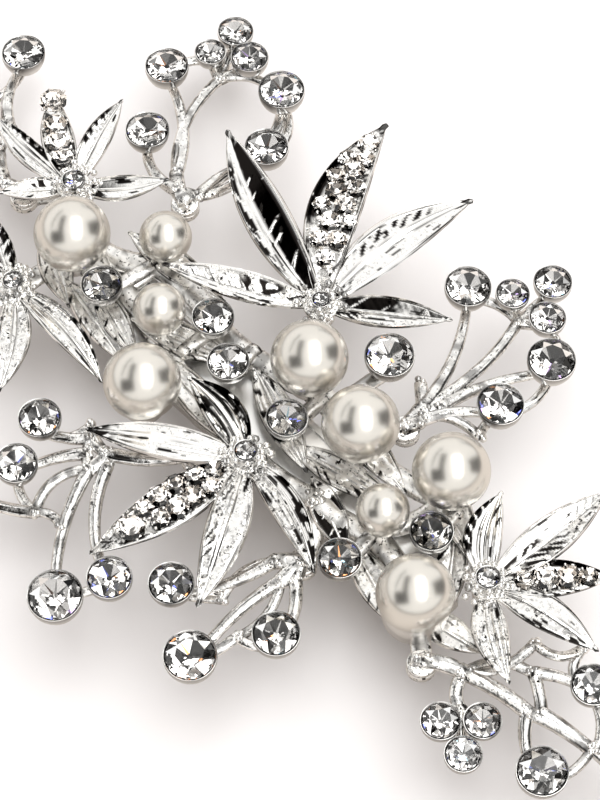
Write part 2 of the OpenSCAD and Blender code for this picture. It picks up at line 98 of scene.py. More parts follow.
# x, y, diameter, reach of the dish as a part of the radius
PEARLS = [
    (-29.2, -2, 8, 0.65), (-22.5, 5, 5.5, 0.65), (-16.5, -1.5, 5.5, 0.65), (-11, -9, 8, 0.65),
    (-1, 5, 8, 0.65), (8, 3.5, 8, 0.65), (18, 6.5, 8, 0.65), (16, -1.2, 5.5, 0.65),
    (25, -5.5, 8, 0.95),
]
# x, y, cup diameter, start of the rod to it
BASE_STONES = [
    (-23.5, -3.2, 4.4, -22.5, 3), (-12.4, 2.2, 4.4, -12.5, -2), (-7.4, -0.4, 4.4, -7.5, 3.5),
    (1.5, -0.6, 4.4, 1.5, 4.5), (3.6, 12, 5.2, 3, 5), (20.6, 1.2, 4.5, 20, 5.5),
    (16.4, -7.6, 4.5, 16, -3),
]
# x, y, cup diameter, start of the stem, sideways bow
SPRAY_STONES = [
    [
        (-34.5, 13.5, 4.7, -27, 11, 1.2), (-39.5, 21, 4.7, -29, 12.5, -1.2),
        (-38, 26, 3.4, -35.5, 25, 0), (-38.2, 29.9, 3.9, -35.5, 25, 0),
        (-34.4, 28.4, 4.1, -35.5, 25, 0), (-28.5, 27.5, 5, -24.5, 19, -0.8),
        (-24, 21, 4.7, -25, 12, 0.8),
    ],
    [
        (3, 24, 4.9, 9.5, 11, -1), (6.4, 27.2, 3.6, 8.5, 26, 0), (8.2, 31.4, 4.1, 8.5, 26, 0),
        (10.9, 27.8, 3.9, 8.5, 26, 0), (15, 24.2, 5.1, 10.5, 12, 0.8),
        (15.2, 16.5, 4.9, 10.5, 9.5, 0.8),
    ],
    [
        (6.5, -21.5, 4.7, 11.5, -12, 0.8), (13.5, -25.5, 5.5, 13.5, -13, -0.8),
        (17.8, -17.8, 4.9, 14.5, -12, 0.8),
    ],
    [
        (-16.5, -18.3, 4.5, -12, -15.5, 0.5), (-14.5, -23.4, 4.5, -11, -17, -0.5),
        (-0.8, -30.6, 5.7, -9.5, -18, -1.2), (1.6, -25.4, 4.7, -8.4, -16.6, -1.4),
        (-18, -28.6, 4.5, -10, -25, 0.6),
    ],
    [
        (35.4, -12.2, 4.1, 35.2, -9.2, 0), (38.2, -9.1, 3.9, 35.2, -9.2, 0),
        (39.3, -12.9, 3.9, 35.2, -9.2, 0), (46, -8.6, 5.3, 40, -4.5, -0.8),
        (43, 1.6, 4.5, 37.5, -1.2, 0.6), (52, -2.6, 4.7, 41, -3.5, 0.6),
    ],
    [
        (-52, 11.5, 4.7, -46.5, 4.5, 1), (-52, 3.2, 4.7, -45, 1.5, 0.8),
        (-47, -4, 4.7, -41, -1, -0.8),
    ],
]
# start, end, sideways bow, width
SPRAY_BARS = [
    [
        (-25.5, 10.5, -27, 11, 0, 1.8), (-27, 11, -29, 12.5, 0, 1.6), (-29, 12.5, -35.5, 25, 1.4, 1.2),
        (-27, 11, -25, 12, 0, 1.4), (-25, 12, -24.5, 19, -0.8, 1.2), (-39.5, 21, -38, 26, 1, 1.1),
        (-35.5, 25, -28.5, 27.5, 1.6, 1.1), (-28.5, 27.5, -24, 21, 1.4, 1.1),
    ],
    [
        (10, 8, 9.5, 11, 0, 1.8), (10, 8, 10.5, 9.5, 0, 1.8), (9.5, 11, 8.5, 26, -1, 1.3),
        (9.5, 11, 10.5, 12, 0, 1.5), (10, 8, 15.5, 13.2, 1.8, 1.2), (15.5, 13.2, 15.2, 16.5, 0.4, 1.1),
        (3, 24, 8.5, 26, 0.8, 1.1), (10.9, 27.8, 15, 24.2, 1, 1.1),
        (15, 24.2, 15.2, 16.5, 1.2, 1.1), (9.5, 11, 7.2, 13, 0, 1.4),
    ],
    [
        (13.5, -10, 11.5, -12, 0, 1.8), (13.5, -10, 13.5, -13, 0, 1.8), (13.5, -10, 14.5, -12, 0, 1.6),
        (11.5, -12, 10.5, -18.4, -1, 1.1), (10.5, -18.4, 6.5, -21.5, 0, 1.1),
        (13.5, -13, 14.5, -20, 1, 1.1), (14.5, -20, 13.5, -25.5, 0, 1.2),
        (14.5, -20, 17.8, -17.8, -0.6, 1.1),
    ],
    [
        (-2.5, -9, -9.5, -15.5, 0.8, 1.6), (-9.5, -15.5, -12, -15.5, 0.2, 1.3),
        (-9.5, -15.5, -9.5, -18, 0.2, 1.6), (-9.5, -15.5, -8.4, -16.6, 0, 1.3),
        (-12, -15.5, -11, -17, 0, 1.2), (-11, -17, -9.5, -18, 0, 1.3), (-14.5, -23.4, -10, -25, -0.6, 1.1),
        (-10, -25, -7, -24.2, 0.5, 1.1), (-9.5, -18, -10, -25, -1.4, 1.2),
        (-10, -15.5, -13, -14.6, 0.2, 1.1), (-13, -14.6, -16.5, -18.3, 1.2, 1.1),
        (-0.8, -30.6, 1.6, -25.4, 0.6, 1.1),
    ],
    [
        (29.4, -8.7, 33, -6.4, 0.3, 1.8), (33, -6.4, 40, -4.5, 0.3, 1.7), (40, -4.5, 47, -2.5, 0.3, 1.5),
        (33, -6.4, 35.2, -9.2, -0.6, 1.4), (33, -6.4, 37.5, -1.2, 1.2, 1.2),
        (37.5, -1.2, 41, -3.5, 0.2, 1.3), (47, -2.5, 46, -8.6, 0.8, 1.1),
        (43, 1.6, 47.5, -2.5, 0.8, 1.1), (43, 1.6, 39, 4.5, 1.4, 1.1), (39, 4.5, 35.4, 1.2, 1.2, 1.1),
        (35.4, 1.2, 33, -6.4, 1, 1.2),
    ],
    [
        (-38, 0.2, -41, -1, 0, 1.6), (-41, -1, -45, 1.5, 0.2, 1.6), (-45, 1.5, -46.5, 4.5, 0.2, 1.4),
        (-52, 11.5, -52, 3.2, 1.2, 1.1), (-52, 3.2, -47, -4, 1.2, 1.1),
    ],
]
FLOWER_AT = [(-6, 11.5), (1.5, -6.4), (-35, 3.4), (-30.4, -9.4), (28.2, 1.6)]
SPRAY_AT = [(-25.5, 10.5), (10, 8), (13.5, -10), (-2.5, -9.6), (29.4, -8.9), (-38.6, -0.6)]
CENTRE_CUPS = [2, 2.5, 2.5, 2.2, 2.6]
# direction, length, width, rise of the tip, roll, sideways bow
FLOWER_LEAVES = [
    [
        (161, 23.2, 5, 0.2, -3, 0.9), (119, 23.7, 5.7, -1.2, 0, 1.9), (86, 20.6, 5.6, -1, -8, 0.9),
        (35, 13.5, 3.8, 1.8, 0, 0), (-149, 16.8, 3.8, 1.2, 4, 0.3),
    ],
    [
        (170, 10.4, 4.2, 1.2, 0, -0.9), (-145, 16.4, 3.8, 0.4, -10, 0.15), (-100, 18.6, 5.2, -0.5, 0, 0.5),
        (-60, 17, 4.4, -0.2, -8, 0.5), (-16, 14.6, 3.4, 0.4, 12, 0.9),
    ],
    [
        (148, 12.2, 3.6, -0.6, 0, 0.6), (112, 11.8, 3, 0, 0, 0.2), (47, 9.8, 3.1, 1.4, 0, -0.6),
        (179, 12.6, 3, -0.6, 4, 0.8), (-128, 7.8, 2.8, 0.4, 0, 0),
    ],
    [
        (156, 10, 3, 0, 0, 0), (-3, 14.2, 3.4, -0.6, -6, 0.7), (-49, 12.6, 3.6, 0.6, -6, 0.8),
        (-103, 12.5, 3.4, 0, 0, 0.4), (-158, 11.5, 3.2, 0, 0, 0.4),
    ],
    [
        (127, 9.8, 4, 1.2, 0, 1.2), (86, 16, 4.4, 0.2, 0, -0.3), (50, 12.6, 4.2, 0, 0, 0),
        (13, 12.8, 4, -0.4, 0, 0.4), (-34, 10.8, 3.7, 0, 0, -0.8),
    ],
]
# How each leaf is worked: fold, rib's shift aside, height and spacing of slanted veins, lengthwise grooves
LEAF_RELIEF = [
    [
        (0.62, 0.35, 0, 1.7, 0), (0.3, 0, 0, 1, 0), (0.25, 0, 0, 1.15, 0), (0.6, 0, 0, 1.2, 0),
        (0.45, 0.4, 0.02, 0.5, 0),
    ],
    [
        (0.4, 0, 0, 1, 0.12), (0.42, -0.35, 0, 1, 0.01), (0.3, 0, 0, 1, 0), (0.35, -0.15, 0.01, 1.2, 0),
        (0.45, 0.1, 0, 1, 0.04),
    ],
    [
        (0.25, 0, 0, 1, 0), (0.3, 0, 0, 0.7, 0), (0.32, 0, 0, 1, 0), (0.27, 0, 0, 1, 0.03),
        (0.4, 0, 0.02, 1.2, 0),
    ],
    [
        (0.45, 0, 0.02, 1.3, 0), (0.27, 0, 0, 1.2, 0.02), (0.24, 0, 0, 1, 0.02), (0.45, 0, 0.02, 1.3, 0),
        (0.45, 0, 0.02, 1.3, 0),
    ],
    [
        (0.45, 0, 0, 1, 0.06), (0.5, 0, 0.01, 1.4, 0), (0.3, 0, 0, 1, 0), (0.45, 0, 0, 1.2, 0.01),
        (0.45, 0, 0, 1, 0.06),
    ],
]


def plain(strokes, raw):
    """Tone of a leaf's half that has no patch of painted dark reflection: only its painted strokes and
    rawness.
    """
    return 0, 0, 0, 0, 1, strokes, raw


# Painted tone of each leaf's left and then right half, seen from its root: where a patch of painted dark
# reflection starts and ends along the leaf, how much of it is dark, where it starts and ends on the way out
# from the rib, strokes of painted dark reflection, rawness
LEAF_PAINTED_DARK_AND_RAW = [
    [
        ((0.22, 0.86, 0.6, 0.45, 0.82, 0.2, 0), (0.04, 0.97, 1.1, 0.13, 0.84, 0, 0)),
        ((0.38, 0.8, 0.95, 0.6, 1, 0, 0.6), plain(0.1, 0.8)),
        ((0.34, 0.82, 0.4, 0.3, 0.74, 0, 0), (0, 0.16, 0.5, 0.1, 0.8, 0.02, 0)),
        ((0.16, 0.6, 0.85, 0.1, 0.85, 0.1, 0.3), (0.05, 0.35, 0.5, 0.1, 0.8, 0.3, 0.4)),
        (plain(0.3, 0), (0.25, 0.55, 0.4, 0.15, 0.8, 0.1, 0.8)),
    ],
    [
        ((0.1, 0.95, 0.35, 0.5, 1, 0.42, 0), (0.1, 0.95, 0.6, 0.55, 1, 0.42, 0)),
        ((0.84, 1, 0.8, 0.1, 0.9, 0.16, 0), (0.86, 1, 0.9, 0.1, 0.9, 0, 0.1)),
        (plain(0, 1), (0.2, 0.55, 0.6, 0.5, 1, 0, 1)),
        (plain(0.1, 0.5), (0.2, 0.8, 0.2, 0.3, 0.8, 0.04, 1)),
        ((0.2, 0.95, 0.45, 0.5, 1, 0.35, 0), plain(0.12, 0.9)),
    ],
    [
        (plain(0, 1),) * 2,
        ((0.1, 0.9, 0.45, 0.55, 0.9, 0, 0.8), plain(0.04, 0)),
        ((0.02, 0.28, 0.6, 0.1, 0.9, 0.03, 0), (0.02, 0.34, 0.8, 0.1, 0.9, 0.03, 0)),
        (plain(0.1, 0.1), (0.15, 0.9, 0.6, 0.55, 1, 0.1, 0.1)),
        (plain(0.1, 0.1), (0.3, 0.7, 0.3, 0.2, 0.8, 0.1, 0.4)),
    ],
    [
        ((0.1, 0.7, 0.4, 0.2, 0.8, 0.2, 0.3), (0.1, 0.9, 0.6, 0.4, 1, 0.3, 0.3)),
        ((0.5, 0.95, 0.6, 0.75, 1, 0.05, 0.6), plain(0.08, 0.5)),
        (plain(0.06, 0.6),) * 2,
        ((0.1, 0.5, 0.3, 0.2, 0.8, 0.2, 0.5),) * 2,
        (plain(0.2, 0.3), (0.1, 0.6, 0.4, 0.3, 1, 0.2, 0.3)),
    ],
    [
        ((0.3, 0.95, 0.85, 0.5, 1, 0.1, 0), plain(0.25, 0)),
        ((0.12, 0.46, 0.7, 0.1, 0.4, 0.06, 0.2), (0.15, 0.6, 0.42, 0.15, 0.8, 0.15, 0.8)),
        ((0.3, 1, 0.9, 0.6, 1, 0, 0.3), (0.4, 1, 0.5, 0.7, 1, 0, 0.3)),
        ((0.1, 0.3, 0.4, 0.1, 0.6, 0.05, 0.1), (0.4, 0.97, 0.9, 0.78, 1, 0.12, 0.7)),
        ((0.75, 0.95, 0.4, 0.85, 1, 0.03, 0.8), (0.7, 0.95, 0.4, 0.85, 1, 0.03, 0.8)),
    ],
]
# Stones on the paved leaves: (flower, leaf) and then part of the length, part of the half width, diameter
PAVING = {
    (0, 1): [
        (0.22, -0.1, 1.6), (0.3, 0.3, 1.6), (0.32, -0.4, 1.7), (0.4, 0.02, 1.9), (0.42, -0.62, 1.4),
        (0.47, 0.45, 1.6), (0.5, -0.3, 1.9), (0.56, 0.15, 1.9), (0.6, -0.5, 1.6), (0.64, 0.42, 1.6),
        (0.69, -0.12, 1.9), (0.75, 0.45, 1.6), (0.77, -0.35, 1.6), (0.86, 0, 1.9),
    ],
    (1, 2): [
        (0.19, -0.36, 1.7), (0.26, 0.3, 1.7), (0.3, -0.5, 1.8), (0.38, 0.2, 2), (0.42, -0.56, 1.9),
        (0.49, 0.26, 2), (0.53, -0.5, 2), (0.6, 0.26, 1.8), (0.64, -0.44, 1.8), (0.76, -0.04, 2.4),
    ],
    (2, 0): [(0.3, 0, 1.8), (0.46, 0, 2.2), (0.64, 0, 2.1), (0.92, 0, 2.4)],
    (4, 2): [(0.3, 0, 1.9), (0.47, 0, 2.2), (0.65, 0, 2.1), (0.81, 0, 1.6)],
}
# start, end, sideways bow, width
BASE_RIBS = [
    (-35, 3.4, -29.2, 0.5, 0.6, 2.6), (-29.2, 0.5, -22.5, 3.5, -0.8, 2.8), (-22.5, 3.5, -12.5, 2.6, 0.8, 2.8),
    (-12.5, 2.6, -1, 4.4, -0.6, 2.8), (-1, 4.4, 8, 3.6, 0.6, 2.8), (8, 3.6, 18, 5.6, -0.6, 2.6),
    (18, 5.6, 28.2, 1.6, 1, 2.4), (-35, 3.4, -38.6, -0.6, -0.4, 2), (-30.4, -9.4, -29.2, -2, 0.6, 2.2),
    (-29.2, -2, -16.5, -2, 0.8, 2.8), (-16.5, -2, -11, -6.4, 0.6, 2.6), (-11, -6.4, -11, -9, 0, 2.6),
    (-16.5, -2, -2.5, -5, -0.6, 2.4), (-2.5, -5, 9, -4, -0.6, 2.4), (9, -4, 16, -2.4, -0.4, 2.6),
    (16, -2.4, 25, -5.5, 0.8, 2.6), (25, -5.5, 29.4, -8.9, 0.3, 2.2), (-2.5, -5, -2.5, -9.6, 0.3, 1.8),
    (-2.5, -5, 1.5, -6.4, 0.2, 2.2), (9, -4, 13.5, -10, 0.6, 2), (-1, 4.4, -6, 11.5, 0.6, 2.2),
    (-22.5, 3.5, -25.5, 10.5, 0.4, 2), (8, 3.6, 10, 8, 0.2, 2), (18, 5.6, 16, -1.2, 0.8, 2.2),
    (-22.5, 3.5, -23.5, -3.2, 0.4, 2), (8, 3.6, 9, -4, 0.8, 2.2),
]
# Which leaf of the base is painted black all over: painted shadow of the dark gap between the clip's plate
# and its arm
SHADOW_PAINTED_LEAF = 10
# root, direction, length, width
BASE_LEAVES = [
    (-33, 0, -12, 11, 3.6), (-27, 4, 6, 13, 3.6), (-19, -3, 20, 12, 3.8), (-14, -4, -6, 14, 3.8),
    (-6, 2, -20, 13, 3.8), (3, 4.8, -8, 12, 3.6), (3, -1.6, 14, 13, 3.6), (15, -4.6, -18, 10.5, 3.6),
    (14, 8, -24, 13, 3.6), (21, 4.5, -52, 10, 3.4), (7.2, -2.5, -22, 9, 3.6), (-27.5, -4.6, -12, 11.5, 3.2),
    (-25, -3, -16, 9.5, 3), (24.5, -5.2, 12, 8.3, 3.6), (-33.5, -2.5, -25, 9, 3.4),
]


def deck(x, y):
    """Height of the band's base: its top less x squared over 2R along and y squared over 2R across."""
    return DECK_TOP - x * x / (2 * BEND_LONG) - y * y / (2 * BEND_ACROSS)


def ease(low, high, x):
    """Smooth step: 3t^2 - 2t^3 of how far x has come from low to high."""
    t = np.clip((x - low) / (high - low), 0, 1)
    return t * t * (3 - 2 * t)


def between(x, in_1, in_2, out_1, out_2):
    """One inside a stretch, eased in over the first two values of x and out over the last two."""
    return ease(in_1, in_2, x) * (1 - ease(out_1, out_2, x))


def hill(x, wide):
    """Smooth hill round zero: e to minus the square of x over its width."""
    return np.exp(-((x / wide) ** 2))


def hammered(points, size, seed):
    """Uneven cast surface, -1 to 1: the mean of five sine waves of about one length, in chance directions."""
    chance = np.random.default_rng(seed)
    waves = chance.normal(size=(5, 3))
    stretch = (2 * np.pi / size) * chance.uniform(0.7, 1.4, (5, 1))
    waves *= stretch / np.linalg.norm(waves, axis=1, keepdims=True)
    return np.sin(points @ waves.T + chance.uniform(0, 6.28, 5)).mean(-1)


def turned_out(points, faces):
    """Faces that point outward: reversed where the volume, the sum of centre dot area over 3, is negative."""
    volume = 0.0
    for group in faces:
        corners = points[group]
        area = 0.5 * np.cross(corners, np.roll(corners, -1, axis=1)).sum(1)
        volume += (corners.mean(1) * area).sum() / 3
    return [group[:, ::-1] if volume < 0 else group for group in faces]


def skin(rings, raw=None, dark=None):
    """Closed skin over rings (rows, around, 3): row joined to row, each end closed on the middle of its ring.
    Each point also has how raw the casting is left there and how dark it is painted: painted shade, painted
    reflection and a few darker grains."""
    rows, around, _ = rings.shape
    row = np.arange(rows - 1)[:, None] * around
    i = np.arange(around)[None]
    j = (i + 1) % around
    sides = np.stack([row + i, row + j, row + around + j, row + around + i], -1).reshape(-1, 4)
    i, j, last = i[0], j[0], (rows - 1) * around
    first_end = np.full(around, rows * around)
    ends = np.concatenate([
        np.stack([j, i, first_end], -1), np.stack([last + i, last + j, first_end + 1], -1),
    ])
    points = np.concatenate([rings.reshape(-1, 3), rings[:1].mean(1), rings[-1:].mean(1)])
    marks = [np.zeros((rows, around)) if m is None else m for m in (raw, dark)]
    raw, dark = [np.concatenate([m.ravel(), [m[0].mean(), m[-1].mean()]]) for m in marks]
    faces = turned_out(points, [sides, ends])
    return {"points": points, "faces": faces, "raw": raw, "dark": dark, "finish": 0}


def full_turn(around):
    """Angles evenly round a circle, in radians."""
    return np.linspace(0, 2 * np.pi, around, endpoint=False)


def turned(profile, around, raw=None, dark=None):
    """Turned shape: radius and height of a profile carried round the Z axis."""
    profile = np.asarray(profile, float)
    angle = full_turn(around)
    rings = np.stack([
        profile[:, :1] * np.cos(angle), profile[:, :1] * np.sin(angle), profile[:, 1:] * np.ones(around),
    ], -1)
    return skin(rings, *[None if m is None else np.outer(m, np.ones(around)) for m in (raw, dark)])


def turn(about_x, about_y, about_z=0.0):
    """Rotation matrix about X, then Y, then Z, by angles in radians."""
    (a, b, c), (d, e, f) = np.cos([about_x, about_y, about_z]), np.sin([about_x, about_y, about_z])
    return (
        np.array([[c, -f, 0], [f, c, 0], [0, 0, 1]])
        @ np.array([[b, 0, e], [0, 1, 0], [-e, 0, b]])
        @ np.array([[1, 0, 0], [0, a, -d], [0, d, a]])
    )


def placed(shape, at, rotation=None):
    """The same shape, turned and then moved to a place."""
    points = shape["points"] if rotation is None else shape["points"] @ rotation.T
    return {**shape, "points": points + np.asarray(at, float)}


def leaning(x, y):
    """Rotation that leans a stone half as much as the base leans there."""
    return turn(-np.arctan(y / (2 * BEND_ACROSS)), np.arctan(x / (2 * BEND_LONG)))


def seated(shape, x, y, wide, lift=SEAT_LIFT, spin=0.0):
    """A shape put where a cup of one diameter has its stone's widest line."""
    return placed(shape, (x, y, deck(x, y) + lift + wide * CUP_DEPTH), leaning(x, y) @ turn(0, 0, spin))


def bowed(start, end, bow):
    """Points of a bar: a straight line pushed sideways by bow times 4k(1 - k)."""
    start, end = np.asarray(start, float), np.asarray(end, float)
    k = np.linspace(0, 1, int(np.linalg.norm(end - start) / BAR_STEP) + 5)[:, None]
    flat = (end - start)[:2] / np.linalg.norm((end - start)[:2])
    return start + (end - start) * k + np.array([-flat[1], flat[0], 0]) * bow * 4 * k * (1 - k)


def rod(path, wide_1, wide_2, flat, seed, around=20):
    """Cast rod: ellipses square to a path, their width running from one value to the other, with round ends.
    Hammered waves move the surface where it is raw, mostly near the ends. Their hollows carry painted shade,
    and fine streaks along the rod are painted dark reflections."""
    along = np.gradient(path, axis=0)
    along /= np.linalg.norm(along, axis=1, keepdims=True)
    half = np.linspace(wide_1, wide_2, len(path)) / 2
    bend = np.linspace(0, np.pi / 2, 5)[:-1]
    cap_1 = path[0] - along[0] * half[0] * CAP_LONG * np.cos(bend)[:, None]
    cap_2 = path[-1] + along[-1] * half[-1] * CAP_LONG * np.sin(bend + bend[1])[:, None]
    path = np.concatenate([cap_1, path, cap_2])
    along = np.concatenate([np.repeat(along[:1], 4, 0), along, np.repeat(along[-1:], 4, 0)])
    half = np.concatenate([half[0] * np.sin(bend + 0.1), half, half[-1] * np.cos(bend + bend[1] - 0.1)])
    across = np.cross(along, [0, 0, 1.0])
    across /= np.linalg.norm(across, axis=1, keepdims=True)
    upward = np.cross(across, along)
    angle = full_turn(around)
    right, up = np.cos(angle)[None, :, None], np.sin(angle)[None, :, None]
    rings = (across[:, None] * right + upward[:, None] * flat * up) * half[:, None, None]
    from_end = np.minimum(*[np.linalg.norm(path - end, axis=1) for end in (path[0], path[-1])])
    raw = np.outer(0.5 + 0.5 * (1 - ease(0.5, 2.0, from_end)), np.ones(around))
    waves = hammered(path[:, None] + rings, 1.1, seed)
    # Fine streaks of painted dark reflection along the rod
    run = np.linspace(0, 0.3 * len(path), len(path))[:, None] + 0 * angle
    drawn = np.stack([run, 2.4 * half[:, None] * np.sin(angle), 0 * run], -1)
    streaks = 0.6 * ease(0.0, 0.1, hammered(drawn, 1.6, seed + 1) - 0.27)
    # Painted shade in the hollows of the hammered waves
    hollows = raw * raw * ease(0.08, 0.25, -waves)
    moved = 1 + (CAST_WAVES * raw * waves)[..., None]
    return skin(path[:, None] + rings * moved, raw, np.maximum(streaks, hollows))


def nuggets(at, reach, count, seed, size):
    """Grains of cast metal round a joint, at chance places in a flat disc; one in four is a little darker."""
    chance = np.random.default_rng(seed)
    angle, out = chance.uniform(0, 6.28, count), reach * chance.uniform(0, 1, count) ** 0.5
    places = np.stack([out * np.cos(angle), out * np.sin(angle), chance.uniform(-0.25, 0.15, count)], -1)
    grains = [placed(bead(size * chance.uniform(0.6, 1.2), 8, 6), np.asarray(at) + p) for p in places]
    return [{**grain, "dark": grain["dark"] + chance.choice([0, 0, 0, 0.5])} for grain in grains]


def leaf_half(t):
    """Half width of a leaf as a part of its width: half the 0.8th power of a sine that bulges at 0.47 of the
    length, and not less than a narrow neck."""
    swell = np.sin(np.pi * np.clip(t, 0, 1) ** 0.93)
    return 0.5 * np.maximum(0.16 - 0.03 * t, np.clip(swell, 0, 1) ** 0.8)


def leaf_line(t, length, rise, crown):
    """Height of a leaf's middle line: the tip's rise times t squared and an arch of crown times length."""
    return rise * t * t + crown * length * 4 * t * (1 - t)


# Ways out from a leaf's middle at which its top has points, and places and depths of its keel below
ACROSS = np.array([
    0, 0.03, 0.06, 0.09, 0.13, 0.18, 0.25, 0.33, 0.42, 0.51, 0.60, 0.69, 0.77, 0.82, 0.86, 0.90, 0.95, 0.98,
    1,
])
TOP_ACROSS = np.concatenate([-ACROSS[::-1], ACROSS[1:]])
KEEL = np.array([
    (0.8, -0.3), (0.5, -0.62), (0.2, -0.86), (0, -1), (-0.2, -0.86), (-0.5, -0.62), (-0.8, -0.3),
])


def slanted_veins(t, out, left, length, spacing, seed):
    """Veins that slant from the rib towards the tip: the way to the nearest one, and its chance strength."""
    way = (t * length - VEIN_SLANT * out) / spacing + 0.35 * np.sin(t * 9 + seed) + 0.4 * left
    count = np.floor(way).astype(int)
    strong = np.random.default_rng(seed).uniform(0.1, 1.0, (2, 64))[left * 1, count % 64]
    return ((way - count) - 0.5) * spacing, strong


def painted_shade_lines(t, a, spot, shard, seed, paved):
    """Broken lines of painted shade on a leaf's top: in its gutters, along its edge, at its tip and at its
    rib's foot.
    """
    return np.maximum.reduce([
        hill(a - GUTTER_AT, 0.03) * ease(-0.2, 0.3, hammered(spot, 3.4, seed + 4)),
        ease(0.965, 0.985, a) * ease(-0.4, 0.2, hammered(spot, 3.4, seed + 6)),
        0.9 * ease(0.955, 0.975, t) * (shard > -0.1),
        hill(a - 0.15, 0.03) * ease(-0.2, 0.3, hammered(spot, 4.0, seed + 5)) * (not paved),
    ])


def leaf_top(t, half, length, relief, tones, seed, paved):
    """Top of a leaf: its height over the middle line, how raw it is, and how dark its painted shade and
    painted reflections are.

    Two even floors rise from the rib to the rims by the fold. The rib and the rims are rounded beads, with a
    gutter inside each rim. Veins are slanted ridges, grooves a cosine of the way out, and waves show where it
    is raw. The tones paint a patch of each half dark between slanted shards, a painted dark reflection, and
    fine strokes of painted dark reflection along it. A wholly dark patch keeps bright slivers along its
    veins.
    Painted shade lies in the gutters, along the edge, at the tip, at the rib's foot and in the hollows of the
    raw waves. A paved leaf has a low floor with painted shade in its hollows.
    """
    fold, shift, veins, spacing, grooves = relief
    middle = shift * np.sin(np.pi * t) ** 0.5
    side = TOP_ACROSS[None]
    side = np.where(side > middle, (side - middle) / (1 - middle), (side - middle) / (1 + middle))
    a, left = np.abs(side), side > 0
    start, end, share, near, far, strokes, raw = np.moveaxis(np.where(left[..., None], *tones), -1, 0)
    out = a * half
    inner = between(a, 0.10, 0.22, 0.78, 0.88)
    rim = ease(RIM_AT, 0.91, a)
    spot = np.stack([t * length + 0 * a, TOP_ACROSS[None] * half, 0 * a], -1)
    rough = raw * (0.4 + 0.6 * ease(-0.05, 0.35, hammered(spot, 2.4, seed + 1)))
    rough = np.clip(rough + 1 - ease(0.04, 0.22, t), 0, 1) * (1 - 0.7 * ease(0.8, 0.9, a))
    waves = hammered(spot, 0.8, seed)
    from_vein, strong = slanted_veins(t, out, left, length, spacing, seed)

    slanted = np.stack([(t * length - VEIN_SLANT * out) * 1.5, out * 0.9 + 9 * left, 0 * out], -1)
    shard = hammered(slanted, 1.6, seed + 2)
    drawn = np.stack([t * length * 0.5 + 0 * out, out * 2.8 + 9 * left, 0 * out], -1)
    # Fine strokes of painted dark reflection along the leaf
    stroke = ease(0.0, 0.06, hammered(drawn, 1.6, seed + 3) + strokes - 0.52)
    # A patch of painted dark reflection between slanted shards, kept bright in slivers along the veins
    black = between(t + 0.05 * shard, start - 0.04, start + 0.04, end - 0.04, end + 0.04)
    black = black * ease(near - 0.05, near + 0.05, a + 0.05 * shard) * (1 - ease(far - 0.05, far + 0.05, a))
    sliver = ease(0.42, 0.52, hill(from_vein, 0.34) * strong - 0.9 * (a - 0.12)) * (t > 0.2) * (t < 0.75)
    sliver = sliver * black * (share > 0.9)
    black = black * ease(-0.04, 0.04, shard + share - 0.5) * (1 - sliver)
    # Painted shade: in the hollows between paving stones, and otherwise in the low points of the raw waves
    if paved:
        dips = (0.45 + 0.5 * ease(0.1, 0.3, shard)) * ease(-0.1, 0.1, hammered(spot, 1.3, seed + 7))
    else:
        dips = 0.7 * rough * ease(0.15, 0.4, -waves)
    lines = painted_shade_lines(t, a, spot, shard, seed, paved)
    dark = np.clip(np.maximum.reduce([dips * (a < 0.82), black, stroke * inner, lines]), 0, 1)

    floor = PAVED_FLOOR + 0.1 * a * a if paved else fold * (a - LEVEL_AT)
    rib = 0 if paved else RIB_TALL * np.clip(1 - (a / RIB_WIDE) ** 2, 0, 1) ** 0.5 * (1 - 0.6 * t)
    vein = veins * VEIN_TALL * hill(from_vein, 0.2) * strong * inner * between(t, 0.06, 0.2, 0.86, 0.97)
    groove = grooves * np.cos(a * 6 * np.pi) * inner
    gutter = -GUTTER_DEEP * hill(a - GUTTER_AT, 0.035)
    top = floor * (1 - rim) + RIM_TALL * rim - EDGE_FALL * ease(0.93, 1.0, a)
    top = top + rib + vein + groove + gutter + 0.1 * sliver + (0.002 + 0.05 * rough) * waves
    return top, np.clip(0.15 * inner + rough, 0, 1), dark


def leaf(row, relief, tones, seed, crown=LEAF_CROWN, rows=240, paved=False):
    """Cast leaf from its root along X: a worked top over a keel, rolled, bowed, and blunt at both ends."""
    length, width, rise, roll, bow = row
    t = np.linspace(0, 1, rows)[:, None]
    half = width * leaf_half(t)
    top, raw, dark = leaf_top(t, half, length, relief, tones, seed, paved)
    tall = np.maximum(0.3, np.minimum(1, 2.4 * half / width))
    height = np.concatenate([top * tall, KEEL[None, :, 1] * LEAF_THICK * tall], 1)
    y = np.concatenate([TOP_ACROSS, KEEL[:, 0]])[None] * half
    under = np.ones((rows, len(KEEL)))
    raw, dark = np.concatenate([raw, 0.5 * under], 1), np.concatenate([dark, 0 * under], 1)
    lean = np.radians(roll)
    rings = np.stack([
        np.broadcast_to(t * length, y.shape),
        bow * 4 * t * (1 - t) + y * np.cos(lean) - height * np.sin(lean),
        leaf_line(t, length, rise, crown) + y * np.sin(lean) + height * np.cos(lean),
    ], -1)
    ends = [
        ring.mean(0) + (ring - ring.mean(0)) * 0.2 + np.array([point, 0, 0])
        for ring, point in ((rings[0], -LEAF_POINT), (rings[-1], LEAF_POINT))
    ]
    rings = np.concatenate([ends[:1], rings, ends[1:]])
    return skin(rings, *[np.concatenate([m[:1], m, m[-1:]]) for m in (raw, dark)])


